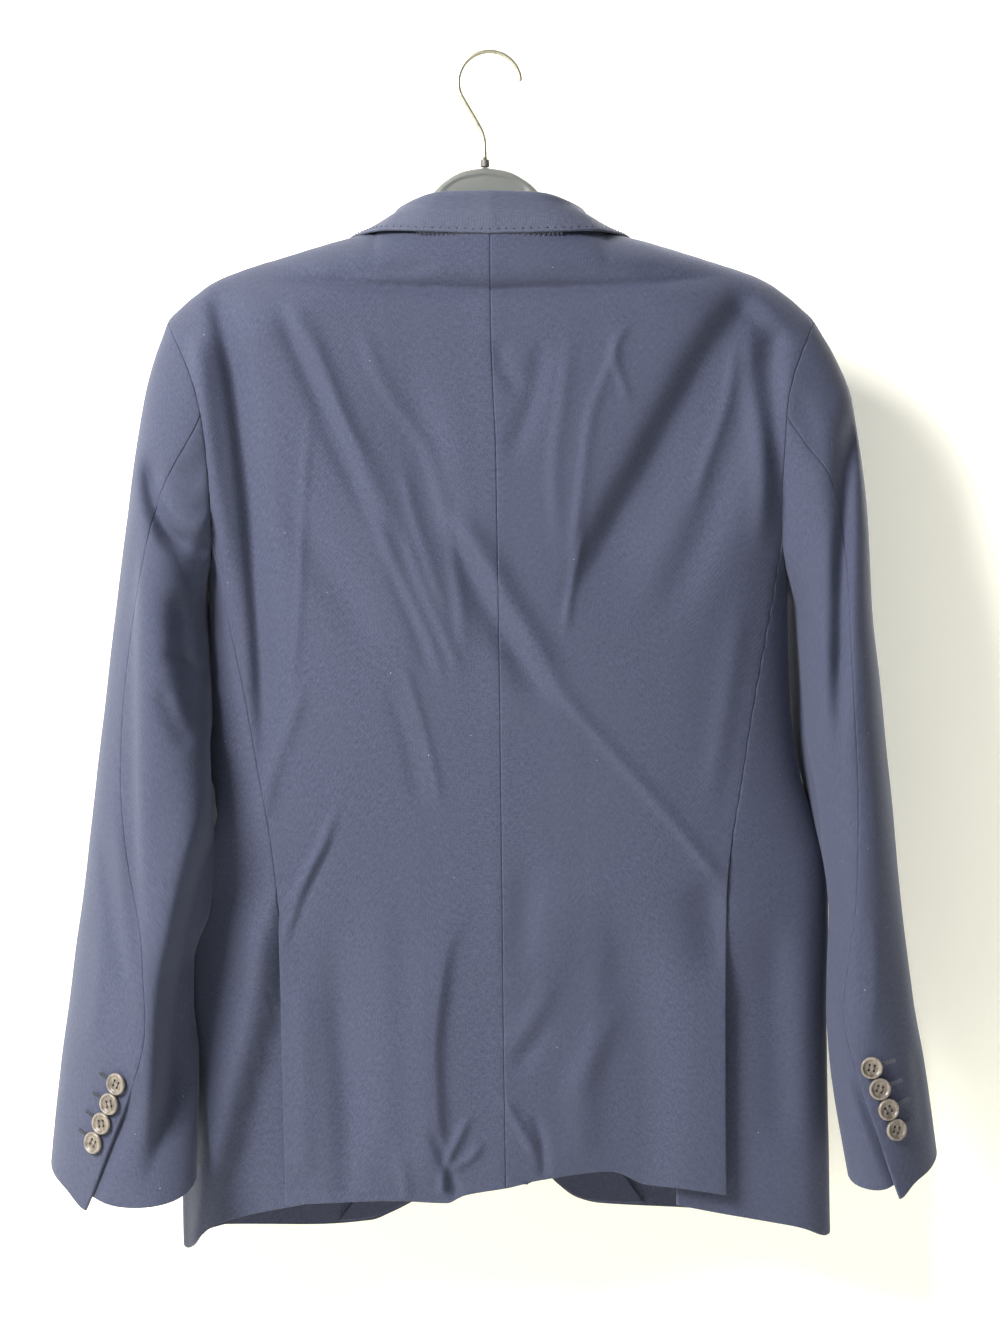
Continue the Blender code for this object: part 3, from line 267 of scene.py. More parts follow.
# Finer creases of the back.
BACK_FINE_FOLDS = (
    Fold(1.7, 3, 5, (-128, -194, -114, -230, -98, -270, -80, -300)),
    Fold(1.5, 2.6, 4, (-124, -246, -106, -280, -80, -332, -60, -372)),
    Fold(-4, 24, 14, (-72, -212, -48, -268, -38, -330, -20, -384), (0.35, 0.35)),
    Fold(1.6, 4, 6, (-93, -190, -76, -236, -50, -276, -38, -300)),
    Fold(2, 4, 6, (-51, -256, -34, -320, -23, -374, -16, -440)),
    Fold(1.9, 3.2, 5, (-64, -286, -53, -330, -39, -374, -26, -410)),
    Fold(2.1, 3.4, 5, (-62, -334, -46, -380, -26, -426, -20, -450)),
    Fold(1.7, 3, 4.6, (-80, -330, -66, -366, -44, -412, -30, -452)),
    Fold(-1.6, 5, 4, (-74, -356, -55, -400, -38, -446)),
    Fold(-3.6, 13, 13, (-164, -290, -136, -328, -112, -370, -86, -414, -74, -440), (0.3, 0.35)),
    Fold(1.4, 2.6, 4, (-124, -244, -130, -320, -133, -396, -140, -474)),
    Fold(2.6, 5, 6, (-128, -440, -138, -472, -150, -504, -160, -548)),
    Fold(1.6, 3, 3.6, (-66, -424, -52, -458, -38, -512, -32, -540)),
    Fold(-1.5, 6, 5, (-72, -446, -56, -490, -46, -540)),
    Fold(-1.8, 5, 6, (6, -206, 9, -230, 24, -248)),
    Fold(-2, 7, 7, (38, -204, 32, -238, 24, -266, 10, -296)),
    Fold(1.5, 3, 5, (82, -184, 85, -218, 70, -258, 63, -310, 53, -392)),
    Fold(1.5, 2.6, 3.4, (98, -194, 86, -216, 92, -240, 98, -256)),
    Fold(1.4, 4, 6, (56, -196, 50, -250, 44, -300, 48, -356)),
    Fold(1.9, 2.6, 3, (66, -336, 57, -378, 51, -416)),
    Fold(3, 7, 6, (180, -178, 183, -240, 190, -300, 186, -360)),
    Fold(2, 4, 5, (172, -196, 166, -246, 148, -300, 140, -330)),
    Fold(1.6, 8, 8, (176, -380, 168, -440, 158, -500, 152, -540)),
    Fold(2.4, 3, 4, (-103, -526, -116, -556, -130, -588, -146, -634)),
    Fold(-1, 4, 3.4, (-101, -540, -116, -570, -131, -604, -142, -634)),
    Fold(1.8, 2.6, 3.6, (-106, -546, -122, -570, -138, -596, -146, -610)),
    Fold(-2.6, 10, 9, (-108, -640, -104, -700, -100, -760, -98, -806), (0.3, 0.05)),
    Fold(1.8, 8, 8, (-132, -640, -130, -700, -130, -790), (0.3, 0.05)),
    Fold(-4.6, 17, 11, (146, -576, 153, -602, 157, -640, 156, -664), (0.3, 0.4)),
    Fold(2.2, 8, 8, (6, -706, 22, -690, 38, -664, 44, -640), (0.4, 0.4)),
    Fold(-2, 7, 7, (14, -722, 28, -700, 46, -682), (0.4, 0.4)),
    Fold(2.4, 9, 9, (50, -752, 66, -716, 84, -680, 88, -650), (0.4, 0.4)),
    Fold(-2.6, 12, 12, (-112, -600, -104, -660, -96, -720, -92, -790), (0.3, 0.2)),
    Fold(2.2, 14, 12, (-78, -580, -74, -650, -72, -730, -70, -790), (0.3, 0.2)),
    Fold(-2.2, 12, 12, (30, -560, 24, -610, 20, -660), (0.4, 0.4)),
    Fold(2, 12, 10, (78, -600, 74, -660, 66, -740, 62, -790), (0.3, 0.2)),
    Fold(3.2, 3.2, 3.6, (-12, -742, -22, -762, -30, -780, -34, -802), (0.3, 0.1)),
    Fold(-3.4, 4, 3.6, (-40, -752, -32, -778, -22, -804), (0.3, 0.1)),
    Fold(2.6, 3.2, 3.2, (-4, -764, -14, -776, -30, -786)),
    Fold(2.4, 3, 3.4, (8, -732, 19, -751, 33, -778)),
    Fold(-2.6, 3.6, 3.4, (28, -742, 36, -764, 38, -790), (0.3, 0.1)),
    Fold(1.6, 4, 5, (-66, -770, -60, -786, -58, -806), (0.3, 0.1)),
)
# Creases of the side panels, laid where the cloth ends up once a vent's underlap is shifted.
SIDE_FOLDS = (
    Fold(15, 22, 9,
         (-146, -570, -157, -621, -165, -678, -180, -736, -195, -794, -212, -842), (0.25, 0.001)),
    Fold(-6, 16, 14, (-202, -560, -208, -640, -212, -720, -216, -800), (0.3, 0.2)),
    Fold(-3, 10, 10, (196, -600, 200, -680, 204, -780), (0.3, 0.2)),
)
# The fronts hang from the shoulders and the fastened buttons.
FRONT_FOLDS = (
    Fold(2.2, 9, 12, (-150, -190, -120, -270, -96, -370, -84, -450)),
    Fold(-1.8, 10, 8, (-186, -240, -176, -320, -170, -420)),
    Fold(1.6, 6, 9, (-24, -552, -58, -590, -96, -606)),
    Fold(1.4, 8, 6, (-40, -672, -70, -730, -84, -800)),
    Fold(-1.4, 9, 9, (-120, -460, -112, -540, -118, -610)),
    Fold(2, 12, 9, (158, -188, 132, -280, 100, -380, 80, -470)),
    Fold(-1.8, 8, 10, (190, -236, 180, -330, 176, -430)),
    Fold(1.5, 9, 6, (26, -556, 64, -586, 108, -600)),
    Fold(1.4, 6, 8, (36, -668, 64, -730, 76, -806)),
    Fold(-1.3, 9, 9, (128, -470, 120, -560, 126, -620)),
    Fold(1.2, 8, 8, (150, -690, 158, -760, 156, -822)),
    Fold(1.2, 8, 8, (-152, -700, -160, -770, -158, -828)),
)
SLEEVE_BACK_FOLDS = (
    Fold(-11, 7, 6, (258, -246, 254, -272, 248, -310, 245, -360, 243, -430, 240, -520), (0.12, 0.35)),
    Fold(5, 12, 16, (272, -250, 266, -310, 264, -400, 266, -500, 276, -640), (0.2, 0.3)),
    Fold(-3.6, 8, 8, (241, -470, 239, -540, 240, -600, 243, -660, 250, -700), (0.3, 0.3)),
    Fold(-6, 18, 5, (-246, -345, -248, -385, -248, -440, -247, -500, -245, -560, -240, -640), (0.15, 0.3)),
    Fold(4, 6, 18, (-241, -345, -242, -385, -242, -440, -241, -500, -237, -570, -230, -650), (0.15, 0.3)),
    Fold(4, 16, 7, (-199, -478, -199, -530, -213, -583, -228, -648, -232, -690, -236, -750), (0.3, 0.1)),
    Fold(-32, 6, 46,
         (-187, -470, -187, -530, -200, -583, -214, -648, -218, -690, -222, -740, -236, -800), (0.16, 0.3)),
    Fold(-10, 7, 12, (-213, -376, -214, -400, -211, -430, -204, -465, -194, -490), (0.25, 0.25)),
    Fold(-5, 12, 14, (-226, -286, -219, -314, -204, -332), (0.4, 0.2)),
    Fold(-13, 6, 7, (-240, -280, -236, -316, -222, -345, -198, -360), (0.25, 0.3)),
    Fold(-5, 6, 6, (-226, -420, -214, -430, -196, -444), (0.4, 0.1)),
    Fold(-3, 6, 6, (-228, -446, -216, -474, -204, -494)),
    Fold(-2.2, 4, 6, (-272, -540, -263, -598, -254, -646, -252, -670)),
    Fold(2, 4, 5, (-262, -530, -256, -560, -250, -612, -243, -652)),
    Fold(1.8, 6, 5, (-270, -610, -270, -660, -276, -700)),
    Fold(-2, 6, 6, (226, -236, 233, -264, 238, -300)),
    Fold(2, 7, 6, (222, -300, 220, -350, 224, -400, 228, -450)),
    Fold(-2, 4, 5, (294, -695, 299, -738, 302, -766)),
    Fold(1.8, 5, 6, (263, -596, 265, -651, 260, -693)),
    Fold(1.6, 7, 9, (286, -580, 290, -650, 296, -710)),
    Fold(1.6, 6, 6, (-276, -300, -278, -360, -282, -430, -284, -500)),
)
SLEEVE_FRONT_FOLDS = (
    Fold(-4, 10, 8, (-244, -300, -236, -350, -226, -400)),
    Fold(3, 9, 8, (-246, -420, -234, -455, -222, -480)),
    Fold(-3.4, 8, 9, (-252, -455, -240, -490, -226, -515)),
    Fold(2.6, 8, 8, (-258, -520, -250, -600, -252, -690)),
    Fold(-4.2, 9, 10, (246, -296, 240, -352, 232, -404)),
    Fold(3.2, 8, 9, (256, -410, 246, -450, 238, -478)),
    Fold(-3, 9, 8, (262, -452, 252, -492, 244, -520)),
    Fold(2.4, 8, 8, (268, -530, 266, -610, 272, -700)),
)


# ---- form of the torso ----
@dataclass(frozen=True)
class TorsoForm:
    """Outer face of the hung body of the garment, which its panels share.

    Each table has a row for each level. A turn goes round the body: 0 is the centre back, 1 the
    side and 2 the centre front. x is measured from the body's own centre line, which sways aside.
    """

    power: float = 2.6
    sections: Table = table_of(
        level=(-120, -191, -240, -280, -313, -345, -372, -400, -460, -510, -546, -571, -600, -700, -845),
        half_width=(264, 262, 255, 247, 232, 214, 205.5, 205, 206, 212, 222, 229, 230.8, 229, 229),
        back_depth=(54, 56, 56, 57, 57, 57, 57, 57, 56, 54, 53, 52, 52, 52, 50),
        front_depth=(52, 58, 60, 60, 60, 60, 60, 60, 58, 57, 56, 55, 54, 53, 50),
        sway=(0, 0.5, 2, 4, 4.6, 5.2, 5.6, 6, 7, 7.5, 8, 8.2, 8.6, 9.6, 12),
    )
    shoulder: Table = table_of(
        x=(0, 40, 80, 100, 149, 191, 212, 228, 240),
        level=(-124, -125, -128, -132, -146, -160.5, -174.7, -190.5, -206),
    )
    armhole: Table = table_of(
        level=(-190.5, -197, -211, -238, -254, -280, -313, -345, -360, -372),
        x=(228, 225.5, 219, 208.5, 205, 202, 200, 199.5, 201.5, 205.5),
    )
    armhole_top: float = -190.5
    armhole_bottom: float = -372
    neck_half_width: float = 80
    neck_depth: float = 48
    neck_power: float = 0.6
    back_round_neck: float = 45
    front_round_neck: float = 60
    round_shoulder: float = 72
    shoulder_half_width: float = 228
    overlap_shift: float = 4.2
    overlap_fade: Pair = (26, 70)
    overlap_levels: Pair = (200, 300)
    yoke: Table = table_of(
        x=(0, 45, 86, 118, 158, 185),
        level=(-172.9, -171.9, -169.8, -167, -162.3, -158),
    )
    yoke_depth: float = 8.0
    yoke_above: float = 14
    yoke_below: float = 6
    yoke_bulge: float = 5.0
    yoke_bulge_above: float = 14
    yoke_reach: Pair = (120, 170)

    def yoke_height(self, x: Array, level: Array) -> Array:
        """Crease between the shoulders: cloth above hangs over it, cloth below comes back out."""
        above = level - read(self.yoke, "level", np.abs(x))
        rise = np.exp(-np.maximum(above, 0) / self.yoke_above)
        depth = np.where(above > 0, rise, np.exp(np.minimum(above, 0) / self.yoke_below))
        over = np.maximum(above, 0) / self.yoke_bulge_above
        bulge = self.yoke_bulge * over * np.exp(1 - over)
        return (bulge - self.yoke_depth * depth) * (1 - ease(np.abs(x), *self.yoke_reach))

    def turn_at(self, x: Array, level: Array, front: bool = False) -> Array:
        """Turn round the torso of a place x from its centre line.

        Args:
            x: Distance from the centre line; on a front it may reach past it, below 0.
            level: Level of the place.
            front: Whether the place is on the front half.

        Returns:
            The turn.
        """
        share = np.clip(np.abs(x) / read(self.sections, "half_width", level), 0, 1)
        turn = np.arcsin(share ** (self.power / 2)) / (math.pi / 2)
        return 2 - np.sign(x) * turn if front else turn

    def armhole_level(self, angle: Array | float) -> Array:
        """Level of the armhole's edge at an angle from the shoulder."""
        middle = (self.armhole_top + self.armhole_bottom) / 2
        return middle + (self.armhole_top - middle) * np.cos(angle)

    def point(self, side: int, turn: Array, level: Array) -> Array:
        """Points of the outer face, folds included.

        Args:
            side: LEFT or RIGHT half of the garment.
            turn: Turn round the body.
            level: Level of each point.

        Returns:
            The points, in millimetres.
        """
        angle = np.asarray(turn, float) * math.pi / 2
        level = np.asarray(level, float)
        sine = np.sin(angle)
        cosine = np.cos(angle)
        half_width = read(self.sections, "half_width", level)
        x = half_width * np.sign(sine) * np.abs(sine) ** (2 / self.power)
        share = np.sign(cosine) * np.abs(cosine) ** (2 / self.power)
        is_back = cosine > 0
        back_depth = read(self.sections, "back_depth", level)
        depth = np.where(is_back, back_depth, read(self.sections, "front_depth", level))
        in_neck = np.clip(1 - (np.abs(x) / self.neck_half_width) ** 2, 0, 1)
        neck = self.neck_depth * in_neck**self.neck_power
        top = np.where(is_back, -neck, 0)
        drop = read(self.shoulder, "level", np.abs(x)) - level
        near_neck = np.where(is_back, self.back_round_neck, self.front_round_neck)
        outer = ease(np.abs(x), self.neck_half_width, self.shoulder_half_width)
        radius = mix(near_neck, self.round_shoulder, outer)
        fill = np.sqrt(1 - (1 - np.clip(drop / radius, 0, 1)) ** 2)
        y = top + (-share * depth - top) * fill
        across = side * x + read(self.sections, "sway", level)
        facing_share = fill * np.clip(np.abs(share) * 2, 0, 1)
        back_relief = folds_height(BACK_MAIN_FOLDS, across, level) + self.yoke_height(x, level)
        back_relief = back_relief + folds_height(BACK_FINE_FOLDS, across, level)
        front_relief = folds_height(FRONT_FOLDS, across, level)
        y = y + np.where(is_back, -back_relief, front_relief) * facing_share
        overlap = (1 - ease(x, *self.overlap_fade)) * ease(-level, *self.overlap_levels)
        y = y - np.where(is_back, 0, side * self.overlap_shift * overlap)
        return np.stack(np.broadcast_arrays(across, y, level), axis=-1)


TORSO = TorsoForm()


# ---- shader groups ----
Colour = tuple[float, float, float, float]
Socket = bpy.types.NodeSocket
Node = bpy.types.Node
Material = bpy.types.Material


class Tree:
    """Short ways to add nodes and links to one node tree."""

    def __init__(self, tree: bpy.types.NodeTree) -> None:
        """Keeps the tree that the nodes go into."""
        self.tree = tree

    def feed(self, node: Node, inputs: dict) -> None:
        """Gives each input socket, by name or number, its value or a socket to link."""
        for name, value in inputs.items():
            if isinstance(value, Socket):
                self.tree.links.new(value, node.inputs[name])
            else:
                node.inputs[name].default_value = value

    def add(self, kind: str, inputs: dict | None = None, **settings: object) -> Node:
        """Adds a node.

        Args:
            kind: Blender's name of the node's type.
            inputs: Input sockets by name or number, each given a value or a socket to link.
            settings: Properties of the node itself.

        Returns:
            The node.
        """
        node = self.tree.nodes.new(kind)
        for name, value in settings.items():
            setattr(node, name, value)
        self.feed(node, inputs or {})
        return node

    def place(self) -> Socket:
        """Place on the object, in metres."""
        return self.add("ShaderNodeTexCoord").outputs["Object"]

    def cut(self) -> Socket:
        """Place on the flat cut of the cloth, in metres."""
        return self.add("ShaderNodeUVMap", uv_map=CUT_MAP).outputs[0]

    def stretched(self, place: Socket, *scale: float) -> Socket:
        """Place scaled along each axis."""
        return self.add("ShaderNodeMapping", {"Vector": place, "Scale": scale}).outputs[0]

    def noise(self, place: Socket, scale: float | Socket, detail: float, **more: float) -> Socket:
        """Soft noise from 0 to 1."""
        inputs = {"Vector": place, "Scale": scale, "Detail": detail, **more}
        return self.add("ShaderNodeTexNoise", inputs).outputs[0]

    def bump(self, height: Socket, strength: float, depth_m: float) -> Socket:
        """Normal of a surface with this relief."""
        inputs = {"Height": height, "Strength": strength, "Distance": depth_m}
        return self.add("ShaderNodeBump", inputs).outputs[0]

    def maths(self, operation: str, *values: float | Socket) -> Socket:
        """Result of one sum on numbers or sockets."""
        return self.add("ShaderNodeMath", dict(enumerate(values)), operation=operation).outputs[0]

    def times(self, a: float | Socket, b: float | Socket) -> Socket:
        """Product of two numbers or sockets."""
        return self.maths("MULTIPLY", a, b)

    def blend(self, share: float | Socket, a: Colour | Socket, b: Colour | Socket) -> Socket:
        """Colour a share of the way from a to b."""
        return self.add("ShaderNodeMix", {0: share, 6: a, 7: b}, data_type="RGBA").outputs[2]

    def spread(self, value: Socket, low: float, high: float, to: tuple = (0, 1)) -> Socket:
        """Value mapped from low..high onto another range, held at its ends."""
        inputs = {0: value, 1: low, 2: high, 3: to[0], 4: to[1]}
        return self.add("ShaderNodeMapRange", inputs, clamp=True).outputs[0]


def new_group(name: str, inputs: dict[str, float], outputs: tuple[str, ...]) -> tuple:
    """Starts a shader group, whose first input is the place.

    Args:
        name: Name of the group.
        inputs: First value of each number that it takes.
        outputs: Names of the numbers that it puts out.

    Returns:
        The group, its Tree, its input sockets by name, and its output node.
    """
    group = bpy.data.node_groups.new(name, "ShaderNodeTree")
    group.interface.new_socket("Place", in_out="INPUT", socket_type="NodeSocketVector")
    for label, value in inputs.items():
        socket = group.interface.new_socket(label, in_out="INPUT", socket_type="NodeSocketFloat")
        socket.default_value = value
    for label in outputs:
        group.interface.new_socket(label, in_out="OUTPUT", socket_type="NodeSocketFloat")
    tree = Tree(group)
    return group, tree, tree.add("NodeGroupInput").outputs, tree.add("NodeGroupOutput")


def weave_group() -> bpy.types.NodeTree:
    """Fine worsted weave: height of the threads and the tone of single ones."""
    group, tree, given, out = new_group("fine weave", {"Threads per metre": 1900.0}, ("Height", "Tone"))
    place = given["Place"]
    x, y, _ = tree.add("ShaderNodeSeparateXYZ", {0: place}).outputs
    count = tree.times(given["Threads per metre"], math.pi)
    warp = tree.maths("SINE", tree.times(x, count))
    weft = tree.maths("SINE", tree.times(y, count))
    slant = tree.maths("ADD", x, tree.times(y, 0.7))
    twill = tree.maths("SINE", tree.times(slant, tree.times(count, 0.5)))
    height = tree.maths("ADD", tree.times(tree.times(warp, weft), 0.35), tree.times(twill, 0.4))
    fibres = tree.noise(tree.stretched(place, 1, 0.35, 1), 900, 3)
    slubs = tree.noise(tree.stretched(place, 0.22, 1, 1), 1100, 2)
    tone = tree.blend(0.45, tree.spread(fibres, 0.36, 0.64), tree.spread(slubs, 0.36, 0.64))
    tree.feed(out, {"Height": tree.maths("ADD", height, fibres), "Tone": tone})
    return group


def lint_group() -> bpy.types.NodeTree:
    """Mask of scattered specks of lint."""
    sizes = {"Cells per metre": 70.0, "Size": 0.024, "Share": 0.3}
    group, tree, given, out = new_group("lint", sizes, ("Mask",))
    spacing = {"Vector": given["Place"], "Scale": given["Cells per metre"]}
    cells = tree.add("ShaderNodeTexVoronoi", spacing).outputs
    dot = tree.maths("LESS_THAN", cells["Distance"], given["Size"])
    pick = tree.add("ShaderNodeSeparateColor", {0: cells["Color"]}).outputs[0]
    tree.feed(out, {"Mask": tree.times(dot, tree.maths("LESS_THAN", pick, given["Share"]))})
    return group


def wear_group() -> bpy.types.NodeTree:
    """Mask of worn, rubbed edges with an uneven outline."""
    group, tree, given, out = new_group("edge wear", {"Scale": 120.0}, ("Mask",))
    edge = tree.spread(tree.add("ShaderNodeNewGeometry").outputs["Pointiness"], 0.52, 0.6)
    patchy = tree.noise(given["Place"], given["Scale"], 4)
    tree.feed(out, {"Mask": tree.times(edge, patchy)})
    return group


class Groups:
    """The shader groups, each made once."""

    made: dict[str, bpy.types.NodeTree] = {}
    makers: dict[str, Callable] = {"weave": weave_group, "lint": lint_group, "wear": wear_group}

    @classmethod
    def use(cls, name: str, tree: Tree, inputs: dict) -> Any:
        """Places a group in a material's tree, with its own values, and gives its outputs."""
        if name not in cls.made:
            cls.made[name] = cls.makers[name]()
        return tree.add("ShaderNodeGroup", inputs, node_tree=cls.made[name]).outputs


def start_material(name: str) -> tuple[Material, Tree, Node]:
    """A new material with its tree and its Principled shader."""
    made = bpy.data.materials.new(name)
    made.use_nodes = True
    return made, Tree(made.node_tree), made.node_tree.nodes["Principled BSDF"]


# ---- finishes ----
@dataclass(frozen=True)
class Finish:
    """A material whose Principled shader takes a value or a socket for each of some inputs."""

    name: str

    def sockets(self, tree: Tree) -> dict:
        """Inputs of the shader by name, each a value or a socket of the tree."""
        raise NotImplementedError

    def make(self) -> Material:
        """Builds the material."""
        made, tree, shader = start_material(self.name)
        tree.feed(shader, self.sockets(tree))
        return made


@dataclass(frozen=True)
class WovenCloth(Finish):
    """Worsted wool: fine weave, heathered threads, a soft nap and a little lint."""

    light: Colour = (0.054, 0.062, 0.103, 1)
    dark: Colour = (0.027, 0.032, 0.06, 1)
    patch: Colour = (0.042, 0.047, 0.078, 1)
    lint: Colour = (0.5, 0.51, 0.55, 1)
    roughness: float = 0.82
    sheen: float = 0.16
    bump_m: float = 0.00012

    def sockets(self, tree: Tree) -> dict:
        """Weave and clouds of tone under lint, with the relief of the weave and of ruffled nap."""
        place = tree.place()
        weave = Groups.use("weave", tree, {"Place": tree.cut()})
        tone = tree.blend(weave["Tone"], self.dark, self.light)
        cloudy = tree.spread(tree.noise(place, 26, 5, Roughness=0.65), 0.35, 0.75, (0, 0.5))
        lint = tree.times(Groups.use("lint", tree, {"Place": place})[0], 0.6)
        height = tree.maths("ADD", weave["Height"], tree.times(tree.noise(place, 260, 3), 0.9))
        return {
            "Base Color": tree.blend(lint, tree.blend(cloudy, tone, self.patch), self.lint),
            "Normal": tree.bump(height, 0.8, self.bump_m),
            "Roughness": self.roughness,
            "Specular IOR Level": 0.3,
            "Sheen Weight": self.sheen,
            "Sheen Roughness": 0.45,
            "Sheen Tint": (0.62, 0.66, 0.85, 1),
        }


@dataclass(frozen=True)
class Lining(Finish):
    """Smooth lining with a soft gloss and fine ribs."""

    light: Colour = (0.34, 0.35, 0.38, 1)
    dark: Colour = (0.26, 0.27, 0.30, 1)
    roughness: float = 0.42

    def sockets(self, tree: Tree) -> dict:
        """Tone and relief of a close weave."""
        weave = Groups.use("weave", tree, {"Place": tree.cut(), "Threads per metre": 3200.0})
        return {
            "Base Color": tree.blend(weave["Tone"], self.dark, self.light),
            "Normal": tree.bump(weave["Height"], 0.5, 0.00005),
            "Roughness": self.roughness,
            "Sheen Weight": 0.15,
        }


@dataclass(frozen=True)
class Thread(Finish):
    """Twisted sewing thread."""

    colour: Colour
    # Colour of the grooves between plies: painted shade.
    deep: Colour

    def sockets(self, tree: Tree) -> dict:
        """Slanting plies, darker in the grooves between them as painted shade."""
        waves = {"Vector": tree.place(), "Scale": 1400.0, "Distortion": 1.5}
        plies = tree.add("ShaderNodeTexWave", waves, bands_direction="DIAGONAL").outputs[1]
        return {
            # The plies' grooves take the deep colour: painted shade that follows the bump.
            "Base Color": tree.blend(plies, self.deep, self.colour),
            "Normal": tree.bump(plies, 0.6, 0.00008),
            "Roughness": 0.6,
            "Sheen Weight": 0.3,
        }


@dataclass(frozen=True)
class Horn(Finish):
    """Polished taupe horn: cloudy streaks, a dull rim where it is rubbed."""

    light: Colour = (0.19, 0.16, 0.127, 1)
    dark: Colour = (0.07, 0.057, 0.045, 1)
    rubbed: Colour = (0.36, 0.32, 0.27, 1)

    def sockets(self, tree: Tree) -> dict:
        """Streaks of tone, worn edges and fine scratches."""
        place = tree.place()
        streaks = tree.noise(tree.stretched(place, 1, 1, 0.45), 260, 5, Distortion=1.2)
        tone = tree.blend(tree.spread(streaks, 0.36, 0.66), self.dark, self.light)
        wear = Groups.use("wear", tree, {"Place": place, "Scale": 900.0})[0]
        scratches = tree.noise(place, 2200, 2)
        return {
            "Base Color": tree.blend(wear, tone, self.rubbed),
            "Normal": tree.bump(scratches, 0.25, 0.00004),
            "Roughness": tree.spread(scratches, 0.3, 0.7, (0.3, 0.48)),
            "Coat Weight": 0.35,
            "Coat Roughness": 0.2,
        }


@dataclass(frozen=True)
class MouldedPlastic(Finish):
    """Satin moulded plastic with a fine grain, scuffs and rubbed edges."""

    colour: Colour = (0.13, 0.137, 0.125, 1)
    scuffed: Colour = (0.2, 0.208, 0.195, 1)

    def sockets(self, tree: Tree) -> dict:
        """Scuffs and worn edges over the moulded grain."""
        place = tree.place()
        scuffs = tree.noise(place, 60, 8, Roughness=0.7)
        wear = Groups.use("wear", tree, {"Place": place, "Scale": 90.0})[0]
        share = tree.maths("MAXIMUM", tree.spread(scuffs, 0.58, 0.8, (0, 0.5)), wear)
        return {
            "Base Color": tree.blend(share, self.colour, self.scuffed),
            "Normal": tree.bump(tree.noise(place, 1500, 3), 0.3, 0.00005),
            "Roughness": tree.spread(scuffs, 0.3, 0.75, (0.34, 0.5)),
        }


@dataclass(frozen=True)
class PlatedWire(Finish):
    """Bright plated steel with a few dull spots."""

    bright: Colour = (0.46, 0.43, 0.33, 1)
    dull: Colour = (0.28, 0.26, 0.2, 1)
    rough: Pair = (0.3, 0.52)

    def sockets(self, tree: Tree) -> dict:
        """Bare metal, duller and rougher in spots."""
        spots = tree.noise(tree.place(), 340, 6)
        return {
            "Base Color": tree.blend(tree.spread(spots, 0.55, 0.75), self.bright, self.dull),
            "Roughness": tree.spread(spots, 0.3, 0.75, self.rough),
            "Metallic": 1.0,
        }


def made_of(finish: Finish) -> Any:
    """Field of a dataclass that holds the material of a finish."""
    return field(default_factory=finish.make)


@dataclass(frozen=True)
class Finishes:
    """One material of each finish."""

    cloth: Material = made_of(WovenCloth("navy worsted"))
    # Lighter copy of the navy worsted for the collar: painted light, for the extra light that the upturned
    # collar catches from above.
    collar_cloth_painted_light: Material = made_of(
        WovenCloth(
            "collar worsted lightened as painted light",
            (0.074, 0.083, 0.125, 1),
            (0.04, 0.046, 0.076, 1),
            (0.06, 0.065, 0.098, 1),
        )
    )
    lining: Material = made_of(Lining("grey lining"))
    # Dark copy of the lining for the sleeves: painted shade, so that lining seen in the gap between sleeve
    # and body reads as shadow.
    sleeve_lining_painted_shade: Material = made_of(
        Lining("sleeve lining darkened as painted shade", (0.05, 0.056, 0.08, 1), (0.034, 0.038, 0.056, 1))
    )
    felt: Material = made_of(
        WovenCloth("undercollar felt", (0.075, 0.08, 0.118, 1), (0.05, 0.055, 0.085, 1), sheen=0.5)
    )
    thread: Material = made_of(Thread("navy thread", (0.024, 0.027, 0.047, 1), (0.01, 0.012, 0.022, 1)))
    horn: Material = made_of(Horn("taupe horn"))
    plastic: Material = made_of(MouldedPlastic("black moulded plastic"))
    wire: Material = made_of(PlatedWire("plated wire"))
    ferrule: Material = made_of(
        PlatedWire("dulled plating", (0.16, 0.157, 0.148, 1), (0.11, 0.107, 0.1, 1), (0.62, 0.74))
    )


# ---- cloth walls ----
def add_object(name: str, data: bpy.types.ID) -> Object:
    """Puts a new object with this data into the scene."""
    obj = bpy.data.objects.new(name, data)
    bpy.context.scene.collection.objects.link(obj)
    return obj


class Edge(Enum):
    """How an edge of a cloth piece is finished."""

    SEAM = "sewn to its neighbour"
    FOLDED = "turned in and pressed"


FOLDED_ROUND = (Edge.FOLDED,) * 4


def place_piece(obj: Object, slot: str, *nodes: str) -> None:
    """Puts a piece on the body, in place of its nodes."""
    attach(obj, BODY)
    if nodes:
        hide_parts(*nodes)
    LOG.info("%s stands for %s", obj.name, ", ".join(nodes) or "no node")


